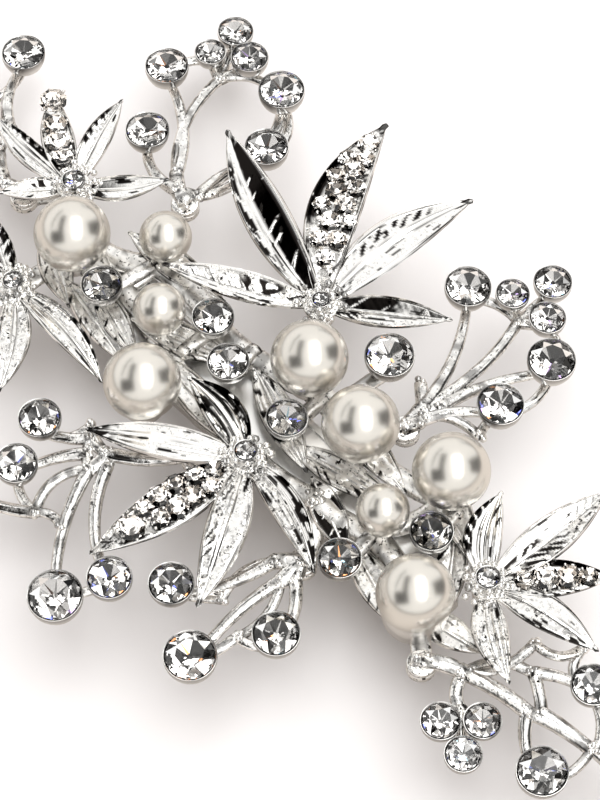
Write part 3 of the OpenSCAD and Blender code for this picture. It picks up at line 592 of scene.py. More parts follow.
def stone_cup(wide):
    """Turned cup of a stone: a bowl whose rounded lip stands just over the stone's widest line, Z = 0.
    Painted shade lies all round its inside and outer wall, and in stretches on its lip, where a sum of two
    sines of the way round is high."""
    r, depth = wide / 2, wide * CUP_DEPTH
    inner = r - CUP_WALL
    # radius, height, raw, painted shade all round, painted shade in stretches
    rows = np.array([
        (r * 0.3, -depth, 0.8, 0, 0), (r * 0.5, -depth, 0.7, 0, 0), (r * 0.7, -depth * 0.83, 0.6, 0, 0),
        (r * 0.86, -depth * 0.62, 0.4, 0.1, 0.3), (r * 0.96, -depth * 0.36, 0.2, 0.2, 0.5),
        (r, -depth * 0.12, 0.1, 0.5, 0.8), (r, CUP_LIP - 0.08, 0, 0.6, 0.9),
        (r - 0.02, CUP_LIP - 0.01, 0, 0, 0.8), (r - 0.06, CUP_LIP, 0, 0, 0.75),
        (r - 0.10, CUP_LIP - 0.04, 0, 0.6, 0.8), (inner, CUP_LIP - 0.16, 0.5, 0.9, 0),
        (inner, -0.06 * depth, 1, 0.9, 0), (0.6 * r, -depth * 0.5, 1, 0.9, 0),
        (0.3 * r, -depth * 0.84, 1, 0.9, 0), (0.1 * r, -depth * 0.84, 1, 0.9, 0),
    ])
    cup = turned(rows[:, :2], CUP_AROUND, rows[:, 2], rows[:, 3])
    angle = full_turn(CUP_AROUND)
    stretch = ease(-0.3, 0.5, np.sin(angle + 0.6) + 0.7 * np.sin(3 * angle + 9 * wide))
    lip = np.append(np.outer(rows[:, 4], stretch).ravel(), [0, 0])
    return {**cup, "dark": np.maximum(cup["dark"], lip)}


def bead(radius, around, rings):
    """Small ball: a turned half circle."""
    angle = np.linspace(-1.35, 1.35, rings)
    return turned(np.stack([radius * np.cos(angle), radius * np.sin(angle)], -1), around)


def around_axis(radius, height, sides, shift=0.0):
    """Points evenly round the Z axis at one radius and height."""
    angle = 2 * np.pi * (np.arange(sides) + shift) / sides
    return np.stack([radius * np.cos(angle), radius * np.sin(angle), np.full(sides, height)], -1)


# Painted fire on a stone's facets: white, and four colours of painted dispersion that a few triangles have,
# and how often each is drawn
PAINTED_FIRE = np.array([(1.0, 1.0, 1.0), (1.0, 0.45, 0.2), (0.25, 0.3, 1.0), (0.5, 0.85, 1.0), (0.7, 0.5, 1.0)])
PAINTED_FIRE_SHARES = [0.88, 0.03, 0.05, 0.02, 0.02]
# Painted light of a paving stone's facets, dark, grey and white as painted reflections and shade, and how
# often each is drawn
PAVING_PAINTED_LIGHT = np.array([(0.10, 0.09, 0.08), (0.46, 0.43, 0.40), (0.9, 0.885, 0.865), (1, 1, 1), (1, 1, 1)])
PAVING_SHARES = [0.18, 0.24, 0.2, 0.2, 0.18]


def painted_foil_light(lit, chance):
    """Painted light of facets, with some chance: mostly bright on the painted lit side, grey beside that,
    dark on the far side.
    """
    bright = chance.choice([1.0, 0.9, 0.07], len(lit), p=[0.68, 0.2, 0.12])
    beside = chance.choice([0.06, 0.26, 0.65], len(lit), p=[0.36, 0.36, 0.28])
    far = chance.choice([0.02, 0.22], len(lit), p=[0.65, 0.35])
    return np.where(lit > -0.08, bright, np.where(lit > -0.55, beside, far))


def faceted(points, faces, finish, tint):
    """A stone's shape, with a finish for each group of faces and a tint for each face, which carries its
    painted light.
    """
    plain_points = np.zeros(len(points))
    marks = {"raw": plain_points, "dark": plain_points, "finish": finish, "tint": tint}
    return {"points": points, "faces": faces, **marks}


def cut_stone(wide, spin, seed):
    """Cut stone with its widest line at Z = 0. Above: a table, eight kites from table to girdle and eight
    triangles between them. Below: eight kites and sixteen low triangles down to a blunt point. The foil is
    painted bright on one side and dark on the other, a painted reflection by the cosine of each facet's
    direction and a little chance, and a few triangles carry painted fire."""
    r = wide / 2 - CUP_WALL - 0.05
    down, up, edge = 0.78 * wide * CUP_DEPTH, 0.36 * r, 0.12
    table_r, low_r, point_r, shallow = 0.60 * r, 0.80 * r, 0.14 * r, np.tan(np.radians(23))
    points = np.concatenate([
        around_axis(table_r, up, 8), around_axis(r, edge, 16), around_axis(r, 0, 16),
        around_axis(low_r, -(r - low_r) * shallow * 1.15, 8, 0.5),
        around_axis(point_r, -(r - point_r) * shallow, 8), around_axis(point_r * 0.6, -down, 8),
    ])
    k = np.arange(8)
    n = (k + 1) % 8
    girdle, belt, low, low_before, point, foot = 8, 24, 40 + k, 40 + (k - 1) % 8, 48, 56
    even, odd, next_even, odd_before = 2 * k, 2 * k + 1, (2 * k + 2) % 16, (2 * k - 1) % 16
    rim = np.arange(16)
    faces = turned_out(points, [
        k[None],
        np.stack([n, k, girdle + odd], -1)[:, ::-1],
        np.stack([k, girdle + odd_before, girdle + even, girdle + odd], -1),
        np.stack([girdle + rim, belt + rim, belt + (rim + 1) % 16, girdle + (rim + 1) % 16], -1),
        np.concatenate([
            np.stack([low, belt + odd, belt + even], -1), np.stack([low, belt + next_even, belt + odd], -1),
        ]),
        np.stack([point + k, low, belt + even, low_before], -1),
        np.stack([point + k, point + n, low], -1),
        np.stack([foot + k, foot + n, point + n, point + k], -1),
        (foot + k[::-1])[None],
    ])
    chance = np.random.default_rng(seed)
    lit_from = np.radians(PAINTED_LIGHT_SIDE + chance.uniform(-18, 18)) - spin
    tints = []
    for group in faces:
        middle = points[group].mean(1)
        lit = np.cos(np.arctan2(middle[:, 1], middle[:, 0]) - lit_from) + 0.3 * chance.normal(size=len(group))
        tone = painted_foil_light(lit, chance)
        pick = chance.choice(5, len(group), p=PAINTED_FIRE_SHARES) * (group.shape[1] == 3)
        tints.append(PAINTED_FIRE[pick] * tone[:, None])
    return faceted(points, faces, [0, 0, 0, 0, 1, 1, 1, 1, 1], tints)


def small_stone(wide, seed):
    """Paving stone: a table and eight flat sides over an eight-sided point, its facets painted with chance
    light.
    """
    r = wide / 2
    points = np.concatenate([around_axis(0.55 * r, 0.34 * r, 8), around_axis(r, 0, 8), [[0, 0, -0.42 * r]]])
    k = np.arange(8)
    n = (k + 1) % 8
    faces = turned_out(points, [
        k[None], np.stack([k, 8 + k, 8 + n, n], -1), np.stack([8 + n, 8 + k, np.full(8, 16)], -1),
    ])
    chance = np.random.default_rng(seed)
    tints = [PAVING_PAINTED_LIGHT[chance.choice(5, len(group), p=PAVING_SHARES)] for group in faces]
    return faceted(points, faces, [0, 0, 1], tints)


def pearl_bead(diameter):
    """Round pearl with the hole for its peg, turned from the hole's wall round the outside to the top."""
    r, hole = diameter / 2, PEG_R + PEG_GAP
    angle = np.linspace(np.arcsin(hole / r), np.pi - 0.03, 64)
    outside = np.stack([r * np.sin(angle), -r * np.cos(angle)], -1)
    wall = [(hole * 0.5, -r * 0.5 + PEG_GAP), (hole, -r * 0.5 + PEG_GAP), (hole, -r * 0.75)]
    return turned(np.concatenate([wall, outside]), 96)


def pearl_dish(diameter, part):
    """Turned dish under a pearl, with the peg that stands in the pearl's hole; Z = 0 is the base's height."""
    r = diameter / 2
    reach, ball, middle = r * part, r + SEAT_GAP, PEARL_LIFT + r
    rim = middle - np.sqrt(r * r - reach * reach)
    inside = np.linspace(reach - 0.06, PEG_R, 14)
    profile = np.concatenate([
        [(reach * 0.4, -0.6), (reach * 0.8, -0.6), (reach * 0.86, -0.3)],
        [(reach - 0.02, rim - 0.1), (reach - 0.02, rim - 0.03)],
        np.stack([inside, middle - np.sqrt(ball * ball - inside * inside)], -1),
        [(PEG_R, middle - r * 0.5 - 0.1), (PEG_R * 0.7, middle - r * 0.5)],
    ])
    return turned(profile, 48)


def disc(low, high, low_r, high_r):
    """Turned disc with softened edges, rather raw all over."""
    return turned([
        (low_r * 0.5, low), (low_r - 0.1, low), (low_r, low + 0.08), (high_r, high - 0.12),
        (high_r - 0.05, high - 0.03), (high_r - 0.16, high), (high_r * 0.4, high),
    ], 32, [0.8] * 7)


def mesh_piece(name, shapes, finishes, flat=False, sharp=None):
    """One object from several shapes, with each point's raw and its painted dark, and each face's finish and
    tint, a stone facet's painted light.
    """
    faces, finish, tint = [], [], []
    start = 0
    for shape in shapes:
        marks = shape["finish"]
        for g, group in enumerate(shape["faces"]):
            faces += (group + start).tolist()
            finish.append(np.full(len(group), marks[g] if isinstance(marks, list) else marks))
            if "tint" in shape:
                tint.append(np.repeat(shape["tint"][g], group.shape[1], axis=0))
        start += len(shape["points"])
    mesh = bpy.data.meshes.new(name)
    mesh.from_pydata((np.concatenate([shape["points"] for shape in shapes]) * MM).tolist(), [], faces)
    mesh.polygons.foreach_set("material_index", np.concatenate(finish).astype(np.int32))
    for kind in ("raw", "dark"):
        values = np.concatenate([shape[kind] for shape in shapes]).astype(np.float32)
        mesh.attributes.new(kind, "FLOAT", "POINT").data.foreach_set("value", values)
    if tint:
        colour = np.concatenate(tint)
        colour = np.concatenate([colour, np.ones((len(colour), 1))], 1).astype(np.float32)
        mesh.attributes.new("tint", "FLOAT_COLOR", "CORNER").data.foreach_set("color", colour.ravel())
    for material in finishes:
        mesh.materials.append(material)
    if not flat:
        mesh.shade_smooth()
    if sharp:
        mesh.set_sharp_from_angle(angle=np.radians(sharp))
    mesh.update()
    obj = bpy.data.objects.new(name, mesh)
    bpy.context.scene.collection.objects.link(obj)
    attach(obj, "root")
    return obj


def fill(tree, node, inputs):
    """Give a node its inputs: sockets are linked, and other values are set."""
    for key, value in inputs.items():
        if isinstance(value, bpy.types.NodeSocket):
            tree.links.new(value, node.inputs[key])
        else:
            node.inputs[key].default_value = value
    return node


def add_node(tree, kind, inputs=(), **settings):
    """A shader node with its settings and inputs."""
    node = tree.nodes.new(kind)
    for key, value in settings.items():
        setattr(node, key, value)
    return fill(tree, node, dict(inputs))


def math_node(tree, operation, *values, **settings):
    """Result of a calculation with values or sockets."""
    settings["operation"] = operation
    return add_node(tree, "ShaderNodeMath", dict(enumerate(values)), **settings).outputs[0]


def ranged(tree, value, low, high, to_low=0.0, to_high=1.0, **settings):
    """A value mapped from one range to another and held inside it."""
    inputs = {"Value": value, "From Min": low, "From Max": high, "To Min": to_low, "To Max": to_high}
    return add_node(tree, "ShaderNodeMapRange", inputs, **settings).outputs["Result"]


def noise(tree, scale, **more):
    """Noise over the object's own place."""
    place = add_node(tree, "ShaderNodeTexCoord").outputs["Object"]
    return add_node(tree, "ShaderNodeTexNoise", {"Vector": place, "Scale": scale, **more}).outputs["Fac"]


def mark(tree, name, output="Fac"):
    """What the mesh says at each point or face corner under a name."""
    return add_node(tree, "ShaderNodeAttribute", attribute_name=name).outputs[output]


def bump(tree, height, strength, distance):
    """Normal bent by a height."""
    inputs = {"Height": height, "Strength": strength, "Distance": distance}
    return add_node(tree, "ShaderNodeBump", inputs).outputs["Normal"]


def mixed(tree, share, one, two):
    """Colour between two by a share from 0 to 1."""
    return add_node(tree, "ShaderNodeMix", {0: share, 6: one, 7: two}, data_type="RGBA").outputs[2]


def new_group(name, vectors, numbers, outputs):
    """An empty shader group with its sockets; gives the tree, what it is given, and its output node."""
    tree = bpy.data.node_groups.new(name, "ShaderNodeTree")
    for socket in vectors:
        tree.interface.new_socket(socket, in_out="INPUT", socket_type="NodeSocketVector")
    for socket, value in numbers.items():
        made = tree.interface.new_socket(socket, in_out="INPUT", socket_type="NodeSocketFloat")
        made.default_value = value
    for socket in outputs:
        tree.interface.new_socket(socket, in_out="OUTPUT", socket_type="NodeSocketFloat")
    return tree, tree.nodes.new("NodeGroupInput").outputs, tree.nodes.new("NodeGroupOutput")


def cast_grain_group():
    """Fine and coarse noise of a cast surface: a height for a bump, and a mask that comes in patches."""
    numbers = {"Grain": 3000.0, "Patches": 400.0}
    tree, given, out = new_group("cast grain", [], numbers, ["Height", "Patch"])
    fine = noise(tree, given["Grain"], Detail=3.0, Roughness=0.6)
    coarse = noise(tree, given["Patches"])
    fill(tree, out, {"Height": fine, "Patch": ranged(tree, coarse, 0.4, 0.62)})
    return tree


def new_material(name):
    """A material with its Principled shader; gives the material, the tree and the shader."""
    material = bpy.data.materials.new(name)
    material.use_nodes = True
    tree = material.node_tree
    return material, tree, tree.nodes["Principled BSDF"]


CAST_GRAIN = cast_grain_group()
# Near-black painted on the silver for painted shade, painted dark reflections and dark specks
SPECK_AND_SHADE_BLACK = (0.014, 0.012, 0.011, 1)


def plated_silver(name, bright, dull, grain, grain_height, smooth, rough):
    """Silver plate over a casting: polished on rims and ribs; grainier, rougher and duller where it is raw;
    painted almost black where the mesh marks painted shade and painted dark reflections, and in specks at the
    low points of the grain where it is raw."""
    material, tree, shader = new_material(name)
    raw = mark(tree, "raw")
    cast = add_node(tree, "ShaderNodeGroup", node_tree=CAST_GRAIN)
    fill(tree, cast, {"Grain": grain, "Patches": grain / 6})
    height = cast.outputs["Height"]
    worn = math_node(tree, "MULTIPLY", raw, cast.outputs["Patch"])
    most = math_node(tree, "ADD", raw, worn)
    depth = math_node(tree, "MULTIPLY", height, ranged(tree, most, 0.5, 2.0, 0.03))
    # Dark specks at the low points of the grain where it is raw
    specks = math_node(tree, "MULTIPLY", ranged(tree, height, 0.43, 0.37), most)
    # Painted shade and painted dark reflections from the mesh's dark mark, together with the specks
    specks_and_painted_shade = math_node(tree, "MAXIMUM", specks, mark(tree, "dark"), use_clamp=True)
    fill(tree, shader, {
        "Base Color": mixed(tree, specks_and_painted_shade, mixed(tree, worn, bright, dull), SPECK_AND_SHADE_BLACK),
        "Roughness": ranged(tree, worn, 0.0, 1.0, smooth, rough),
        "Normal": bump(tree, depth, 1.0, grain_height),
        "Metallic": 1.0,
    })
    return material


SILVER = plated_silver(
    "bright cast silver", (0.985, 0.975, 0.96, 1), (0.89, 0.865, 0.825, 1),
    grain=2900.0, grain_height=0.00014, smooth=0.05, rough=0.26,
)
BASE_SILVER = plated_silver(
    "rough cast silver", (0.97, 0.955, 0.93, 1), (0.91, 0.88, 0.835, 1),
    grain=2400.0, grain_height=0.00018, smooth=0.26, rough=0.42,
)
CLIP_STEEL = plated_silver(
    "smooth clip plate", (0.93, 0.92, 0.905, 1), (0.86, 0.84, 0.82, 1),
    grain=5200.0, grain_height=0.00002, smooth=0.28, rough=0.4,
)


def pearl_coat():
    """Pearl coat: a soft gloss whose tint drifts a little between cream and grey-white."""
    material, tree, shader = new_material("pearl coat")
    skin_deep = noise(tree, 1500.0, Detail=3.0)
    fill(tree, shader, {
        "Base Color": mixed(tree, noise(tree, 260.0), (0.80, 0.765, 0.705, 1), (0.76, 0.73, 0.68, 1)),
        "Roughness": ranged(tree, skin_deep, 0.0, 1.0, 0.25, 0.28),
        "Normal": bump(tree, skin_deep, 0.5, 0.000001),
        "Metallic": 0.94,
        "Coat Weight": 0.15,
        "Coat Roughness": 0.08,
    })
    return material


def crown_glass():
    """Clear cut glass of a stone's top, with the faintest drift of tint."""
    material, tree, shader = new_material("cut glass")
    fill(tree, shader, {
        "Base Color": mixed(tree, noise(tree, 300.0), (1, 1, 1, 1), (0.985, 0.97, 0.95, 1)),
        "Roughness": 0.0,
        "IOR": 1.58,
        "Transmission Weight": 1.0,
    })
    return material


def foil_back():
    """Mirror foil on a stone's back: each facet's tint, its painted light and painted fire, a little uneven.
    """
    material, tree, shader = new_material("stone foil")
    cast = add_node(tree, "ShaderNodeGroup", node_tree=CAST_GRAIN)
    fill(tree, cast, {"Grain": 1800.0})
    fill(tree, shader, {
        "Base Color": mark(tree, "tint", "Color"),
        "Roughness": ranged(tree, cast.outputs["Height"], 0.0, 1.0, 0.02, 0.06),
        "Metallic": 1.0,
    })
    return material


PEARL_COAT = pearl_coat()
STONE = [crown_glass(), foil_back()]


def leaf_in_place(row, relief, tones, x, y, z, seed, **more):
    """A leaf turned to its direction and put with its root at a place."""
    return placed(leaf(row[1:], relief, tones, seed, **more), (x, y, z), turn(0, 0, np.radians(row[0])))


def paved_stones(row, stones, x, y, z, seed):
    """Paving stones sunk in a paved leaf's floor, and two silver beads that hold each."""
    angle, length, width, rise, _, bow = row
    spin = turn(0, 0, np.radians(angle))
    root = np.array([x, y, z])
    found, beads = [], []
    for n, (t, s, wide) in enumerate(stones):
        wide = wide * PAVING_WIDE
        aside = bow * 4 * t * (1 - t) + s * PAVING_OUT * width * leaf_half(t)
        at = np.array([t * length, aside, leaf_line(t, length, rise, LEAF_CROWN) + PAVING_LIFT])
        found.append(placed(small_stone(wide, seed + n), root + spin @ at, spin @ turn(0, 0, n * 2.4)))
        for corner in around_axis(wide / 2 + 0.05, 0.0, 2, 0.3 + 0.13 * n):
            beads.append(placed(bead(PAVING_BEAD_R, 6, 4), root + spin @ (at + corner)))
    return found, beads


def build_flowers():
    """Each cast flower: hub, leaves, centre cup and beads in one piece, and its paving stones in another."""
    for i, (x, y) in enumerate(FLOWER_AT):
        z = deck(x, y)
        cup = CENTRE_CUPS[i]
        parts = [
            placed(disc(FOOT_LIFT, HUB_LIFT, PAD_R, HUB_R), (x, y, z)),
            seated(stone_cup(cup), x, y, cup, CENTRE_LIFT),
        ]
        for corner in around_axis(cup / 2 + 0.25, cup * CUP_DEPTH + 0.05, CENTRE_BEADS, i * 0.3):
            parts.append(placed(bead(CENTRE_BEAD_R, 10, 7), np.array([x, y, z + CENTRE_LIFT]) + corner))
        parts += nuggets((x, y, z + HUB_LIFT + 0.1), HUB_REACH, HUB_GRAINS, HUB_SEED + i, GRAIN)
        paving = []
        for j, row in enumerate(FLOWER_LEAVES[i]):
            seed = LEAF_SEED + 10 * i + j
            stones = PAVING.get((i, j))
            work = (LEAF_RELIEF[i][j], LEAF_PAINTED_DARK_AND_RAW[i][j])
            parts.append(leaf_in_place(row, *work, x, y, z + LEAF_LIFT, seed, paved=stones is not None))
            if stones:
                found, beads = paved_stones(row, stones, x, y, z + LEAF_LIFT, seed)
                paving += found
                parts += beads
        piece = mesh_piece(f"flower_{i + 1}_casting", parts, [SILVER], sharp=60)
        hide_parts(f"flower_{i + 1}")
        if paving:
            mesh_piece(f"flower_{i + 1}_paving", paving, STONE, flat=True)


def on_spray(x, y, foot):
    """A spray's point: over its foot by the root's lift, coming down to the bars' lift further out."""
    away = np.clip((np.hypot(x - foot[0], y - foot[1]) - 2) / COME_DOWN, 0, 1)
    return np.array([x, y, deck(x, y) + ROOT_LIFT + (BAR_LIFT - ROOT_LIFT) * away])


def build_sprays():
    """Each cast spray: foot, bars, tapering stems and stone cups in one piece."""
    for i, foot in enumerate(SPRAY_AT):
        parts = [placed(disc(FOOT_LIFT, FOOT_LIFT + FOOT_THICK, PAD_R, PAD_R), (*foot, deck(*foot)))]
        for n, (x1, y1, x2, y2, bow, wide) in enumerate(SPRAY_BARS[i]):
            seed = 20 * i + n
            path = bowed(on_spray(x1, y1, foot), on_spray(x2, y2, foot), bow)
            parts.append(rod(path, wide, wide, BAR_FLAT, BAR_SEED + seed))
            for end, first in ((path[0], BAR_START_SEED), (path[-1], BAR_END_SEED)):
                parts += nuggets(end + [0, 0, wide * 0.2], wide * 0.45, 4, first + seed, FINE_GRAIN)
        for n, (x, y, cup, x1, y1, bow) in enumerate(SPRAY_STONES[i]):
            path = bowed(on_spray(x1, y1, foot), on_spray(x, y, foot), bow)
            parts.append(rod(path, STEM_ROOT, STEM_TIP, STEM_FLAT, STEM_SEED + 20 * i + n))
            parts.append(seated(stone_cup(cup), x, y, cup, spin=CUP_TURN * n))
        piece = mesh_piece(f"spray_{i + 1}_casting", parts, [SILVER], sharp=60)
        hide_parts(f"spray_{i + 1}")


def build_backbone():
    """The cast base under the pearls: ribs, flat leaves, pads, pearl dishes with pegs, and cups on rods."""
    parts = []
    for n, (x1, y1, x2, y2, bow, wide) in enumerate(BASE_RIBS):
        ends = [np.array([x, y, deck(x, y) + RIB_LIFT]) for x, y in ((x1, y1), (x2, y2))]
        parts.append(rod(bowed(*ends, bow), wide, wide, RIB_FLAT, RIB_SEED + n, 18))
        parts += nuggets(ends[0] + [0, 0, -RIB_LIFT], wide * 0.5, 7, RIB_GRAIN_SEED + n, GRAIN)
    for n, (x, y, angle, length, wide) in enumerate(BASE_LEAVES):
        row = (angle, length, wide, 0, 0, 0)
        relief = (0.3, 0, 0.03 * (n % 2), 1.3, 0.03 * ((n + 1) % 2))
        # The right half has a small patch of painted dark reflection
        tones = (plain(0, 0.5), (0.2, 0.8, 0.2, 0.4, 1, -0.05, 0.5))
        # Painted shadow: this leaf is painted black all over
        if n == SHADOW_PAINTED_LEAF:
            tones = ((0.02, 0.98, 1.2, 0.1, 0.8, 0, 0),) * 2
        z = deck(x + length / 2, y) + RIB_LIFT + 0.3
        parts.append(leaf_in_place(row, relief, tones, x, y, z, BASE_LEAF_SEED + n, crown=0.02, rows=80))
    for x, y in FLOWER_AT + SPRAY_AT:
        parts.append(placed(disc(PAD_TOP - PAD_THICK, PAD_TOP, PAD_R, PAD_R), (x, y, deck(x, y))))
    for x, y, wide, part in PEARLS:
        parts.append(placed(pearl_dish(wide, part), (x, y, deck(x, y))))
    for n, (x, y, cup, x1, y1) in enumerate(BASE_STONES):
        parts.append(seated(stone_cup(cup), x, y, cup, spin=CUP_TURN * n))
        path = bowed((x1, y1, deck(x1, y1) + ARM_LIFT), (x, y, deck(x, y) + ARM_LIFT), 0)
        parts.append(rod(path, ARM_WIDE, ARM_WIDE, BAR_FLAT, ARM_SEED + n))
    piece = mesh_piece("backbone_casting", parts, [BASE_SILVER], sharp=60)
    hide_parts("backbone")


def build_stones():
    """The cut stones: a piece for each large one, one for the small ones, one for the flowers' centres."""
    rows = [(x, y, cup) for x, y, cup, _, _ in BASE_STONES]
    rows += [(x, y, cup) for spray in SPRAY_STONES for x, y, cup, _, _, _ in spray]
    big, small = 0, []
    for n, (x, y, cup) in enumerate(rows):
        spin = STONE_TURN * n
        stone = seated(cut_stone(cup, spin, STONE_SEED + n), x, y, cup, spin=spin)
        if cup >= BIG_STONE:
            big += 1
            piece = mesh_piece(f"stone_{big}_cut", [stone], STONE, flat=True)
            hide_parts(f"stone_{big}")
        else:
            small.append(stone)
    centres = [
        seated(cut_stone(cup, CENTRE_TURN * i, CENTRE_SEED + i), x, y, cup, CENTRE_LIFT, CENTRE_TURN * i)
        for i, ((x, y), cup) in enumerate(zip(FLOWER_AT, CENTRE_CUPS))
    ]
    for name, stones in (("small_stones", small), ("centre_stones", centres)):
        piece = mesh_piece(f"{name}_cut", stones, STONE, flat=True)
        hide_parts(name)


def build_pearls():
    """The pearls, each its own piece on its dish."""
    for n, (x, y, wide, _) in enumerate(PEARLS):
        bead_at = (x, y, deck(x, y) + PEARL_LIFT + wide / 2)
        piece = mesh_piece(f"pearl_{n + 1}_bead", [placed(pearl_bead(wide), bead_at)], [PEARL_COAT], sharp=60)
        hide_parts(f"pearl_{n + 1}")


build_backbone()
build_flowers()
build_sprays()
build_stones()
build_pearls()

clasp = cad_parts["clasp"]
clasp.data.materials.clear()
clasp.data.materials.append(CLIP_STEEL)

# Camera: the point it looks at, its angles, its distance in metres, the height in view there, the film's size
AIM = Vector((0, 2.7, 9.0)) * MM
ROUND, UP_ANGLE, AWAY, SEEN, FILM = np.radians(46.0), np.radians(62.0), 0.450, 0.08205, 36.0
RIGHT = Vector((np.cos(ROUND), np.sin(ROUND), 0))
BACK = Vector((np.sin(ROUND) * np.cos(UP_ANGLE), -np.cos(ROUND) * np.cos(UP_ANGLE), np.sin(UP_ANGLE)))
UPWARD = BACK.cross(RIGHT)


def aim(obj, towards, away):
    """Put a camera or a lamp a distance from the aim point in a direction, looking back at it."""
    obj.location = AIM + towards * away
    obj.rotation_mode = "QUATERNION"
    obj.rotation_quaternion = (-towards).to_track_quat("-Z", "Y")
    bpy.context.scene.collection.objects.link(obj)


def build_camera():
    """The camera at the photo's angle. Its lens: the film's size times the distance over the height seen."""
    data = bpy.data.cameras.new("camera")
    data.sensor_width = FILM
    data.lens = FILM * AWAY / SEEN
    data.clip_start, data.clip_end = 0.01, 20.0
    camera = bpy.data.objects.new("camera", data)
    aim(camera, BACK, AWAY)
    bpy.context.scene.camera = camera


def studio_direction(right_deg, up_deg):
    """Direction from the object: so many degrees to the camera's right and up, as the pearls show them."""
    across, up = np.radians(right_deg), np.radians(up_deg)
    level = RIGHT * np.sin(across) * np.cos(up) + BACK * np.cos(across) * np.cos(up)
    return (level + UPWARD * np.sin(up)).normalized()


def card_group():
    """A soft-edged card in a direction. The mask is one where the direction's run along right and up, each
    over its run along the card's facing, stays inside the half width and the half height."""
    sizes = {"Half width": 0.3, "Half height": 0.3, "Soft": 0.1}
    tree, given, out = new_group("studio card", ["Direction", "Facing", "Right", "Up"], sizes, ["Mask"])

    def along(kind):
        pair = {0: given["Direction"], 1: given[kind]}
        return add_node(tree, "ShaderNodeVectorMath", pair, operation="DOT_PRODUCT").outputs["Value"]

    front = along("Facing")
    ahead = math_node(tree, "MAXIMUM", front, 0.001)
    mask = math_node(tree, "GREATER_THAN", front, 0.0)
    for kind, limit in (("Right", given["Half width"]), ("Up", given["Half height"])):
        run = math_node(tree, "ABSOLUTE", math_node(tree, "DIVIDE", along(kind), ahead))
        fade_from = math_node(tree, "SUBTRACT", limit, given["Soft"])
        inside = ranged(tree, run, fade_from, limit, 1.0, 0.0, interpolation_type="SMOOTHSTEP")
        mask = math_node(tree, "MULTIPLY", mask, inside)
    fill(tree, out, {"Mask": mask})
    return tree


# Light of the tent and its horizon, the dark and bright blots that the stones' glass sees, and the even light
TENT, HORIZON = (1.08, 1.07, 1.05, 1), (0.03, 0.028, 0.026, 1)
GLASS_DARK, GLASS_BRIGHT = (0.21, 0.197, 0.185, 1), (2.95, 2.88, 2.8, 1)
EVEN_LIGHT = (0.47, 0.425, 0.40, 1)
# Key light: size, power, distance, and the parts of its direction to the camera's right, up and back
KEY_SIZE, KEY_WATTS, KEY_AWAY = 1.3, 11.1, 0.8
KEY_FROM = (RIGHT * 0.24 + UPWARD * 0.57 + BACK * 0.78).normalized()
# Floor: half its side, the paper's two tones, and the darker tone of painted shade that every ray but the
# camera's sees
FLOOR_HALF = 1.5
PAPER_1, PAPER_2, PAPER_PAINTED_SHADE = (0.82, 0.81, 0.81, 1), (0.84, 0.83, 0.83, 1), (0.62, 0.585, 0.55, 1)
# Cards of the white tent: degrees right and up, half width, half height, softness, colour
CARDS = [
    (-31, 28, 0.21, 0.51, 0.14, (0.02, 0.018, 0.016)),
    (-43, -11, 0.48, 0.40, 0.18, (0.012, 0.011, 0.01)),
    (80, 14, 0.60, 0.44, 0.24, (0.05, 0.048, 0.045)),
    (-62, 40, 0.05, 0.50, 0.012, (0.02, 0.02, 0.02)),
    (116, 40, 0.05, 0.60, 0.012, (0.02, 0.02, 0.02)),
    (22, 16, 0.38, 0.86, 0.16, (0.14, 0.135, 0.13)),
    (19, 16, 0.32, 0.76, 0.14, (3.0, 3.0, 2.95)),
]


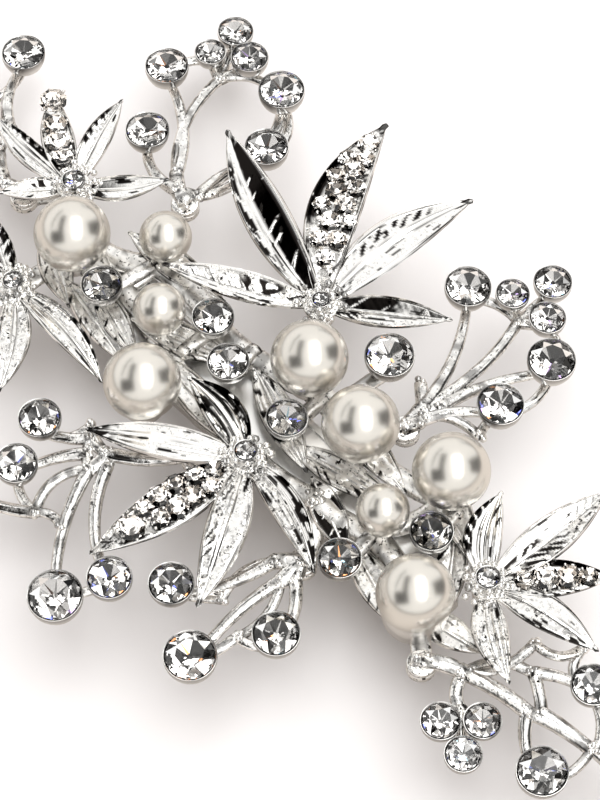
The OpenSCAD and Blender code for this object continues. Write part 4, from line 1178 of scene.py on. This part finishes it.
def build_world():
    """White tent with its cards and a dark horizon, blots of light that the stones' glass sees, and an even
    light for dull surfaces."""
    world = bpy.data.worlds.new("studio")
    bpy.context.scene.world = world
    world.use_nodes = True
    tree = world.node_tree
    tree.nodes.clear()
    direction = add_node(tree, "ShaderNodeTexCoord").outputs["Generated"]
    card = card_group()
    colour = TENT
    for right_deg, up_deg, wide, high, soft, tone in CARDS:
        facing = studio_direction(right_deg, up_deg)
        right = facing.cross(UPWARD).normalized() * -1
        mask = add_node(tree, "ShaderNodeGroup", node_tree=card)
        fill(tree, mask, {
            "Direction": direction, "Facing": facing, "Right": right, "Up": facing.cross(right),
            "Half width": wide, "Half height": high, "Soft": soft,
        })
        colour = mixed(tree, mask.outputs["Mask"], colour, (*tone, 1))
    height = add_node(tree, "ShaderNodeSeparateXYZ", {"Vector": direction}).outputs["Z"]
    colour = mixed(tree, ranged(tree, height, 0.03, 0.12, 1.0, 0.0), colour, HORIZON)
    blots = add_node(tree, "ShaderNodeTexNoise", {
        "Vector": direction, "Scale": 2.6, "Detail": 1.0, "Distortion": 0.6,
    }).outputs["Fac"]
    inside = mixed(tree, ranged(tree, blots, 0.36, 0.40), GLASS_DARK, GLASS_BRIGHT)
    path = add_node(tree, "ShaderNodeLightPath").outputs
    colour = mixed(tree, path["Is Transmission Ray"], colour, inside)
    colour = mixed(tree, path["Is Diffuse Ray"], colour, EVEN_LIGHT)
    back = add_node(tree, "ShaderNodeBackground", {"Color": colour})
    add_node(tree, "ShaderNodeOutputWorld", {"Surface": back.outputs[0]})


def build_key():
    """Soft key from above and to the right, which no reflection or stone shows."""
    key = bpy.data.lights.new("key", "AREA")
    key.shape = "DISK"
    key.size = KEY_SIZE
    key.energy = KEY_WATTS
    lamp = bpy.data.objects.new("key", key)
    aim(lamp, KEY_FROM, KEY_AWAY)
    lamp.visible_glossy = False
    lamp.visible_transmission = False


def build_floor():
    """White paper under the object, painted a little darker, as painted shade, to every ray but the camera's.
    """
    mesh = bpy.data.meshes.new("floor")
    half = FLOOR_HALF
    corners = [(-half, -half, 0), (half, -half, 0), (half, half, 0), (-half, half, 0)]
    mesh.from_pydata(corners, [], [(0, 1, 2, 3)])
    floor = bpy.data.objects.new("floor", mesh)
    material, tree, shader = new_material("white paper")
    paper = mixed(tree, noise(tree, 30.0), PAPER_1, PAPER_2)
    seen = add_node(tree, "ShaderNodeLightPath").outputs["Is Camera Ray"]
    fill(tree, shader, {"Base Color": mixed(tree, seen, PAPER_PAINTED_SHADE, paper), "Roughness": 0.9})
    mesh.materials.append(material)
    bpy.context.scene.collection.objects.link(floor)


build_camera()
build_world()
build_key()
build_floor()
bpy.context.scene.view_settings.view_transform = "Standard"
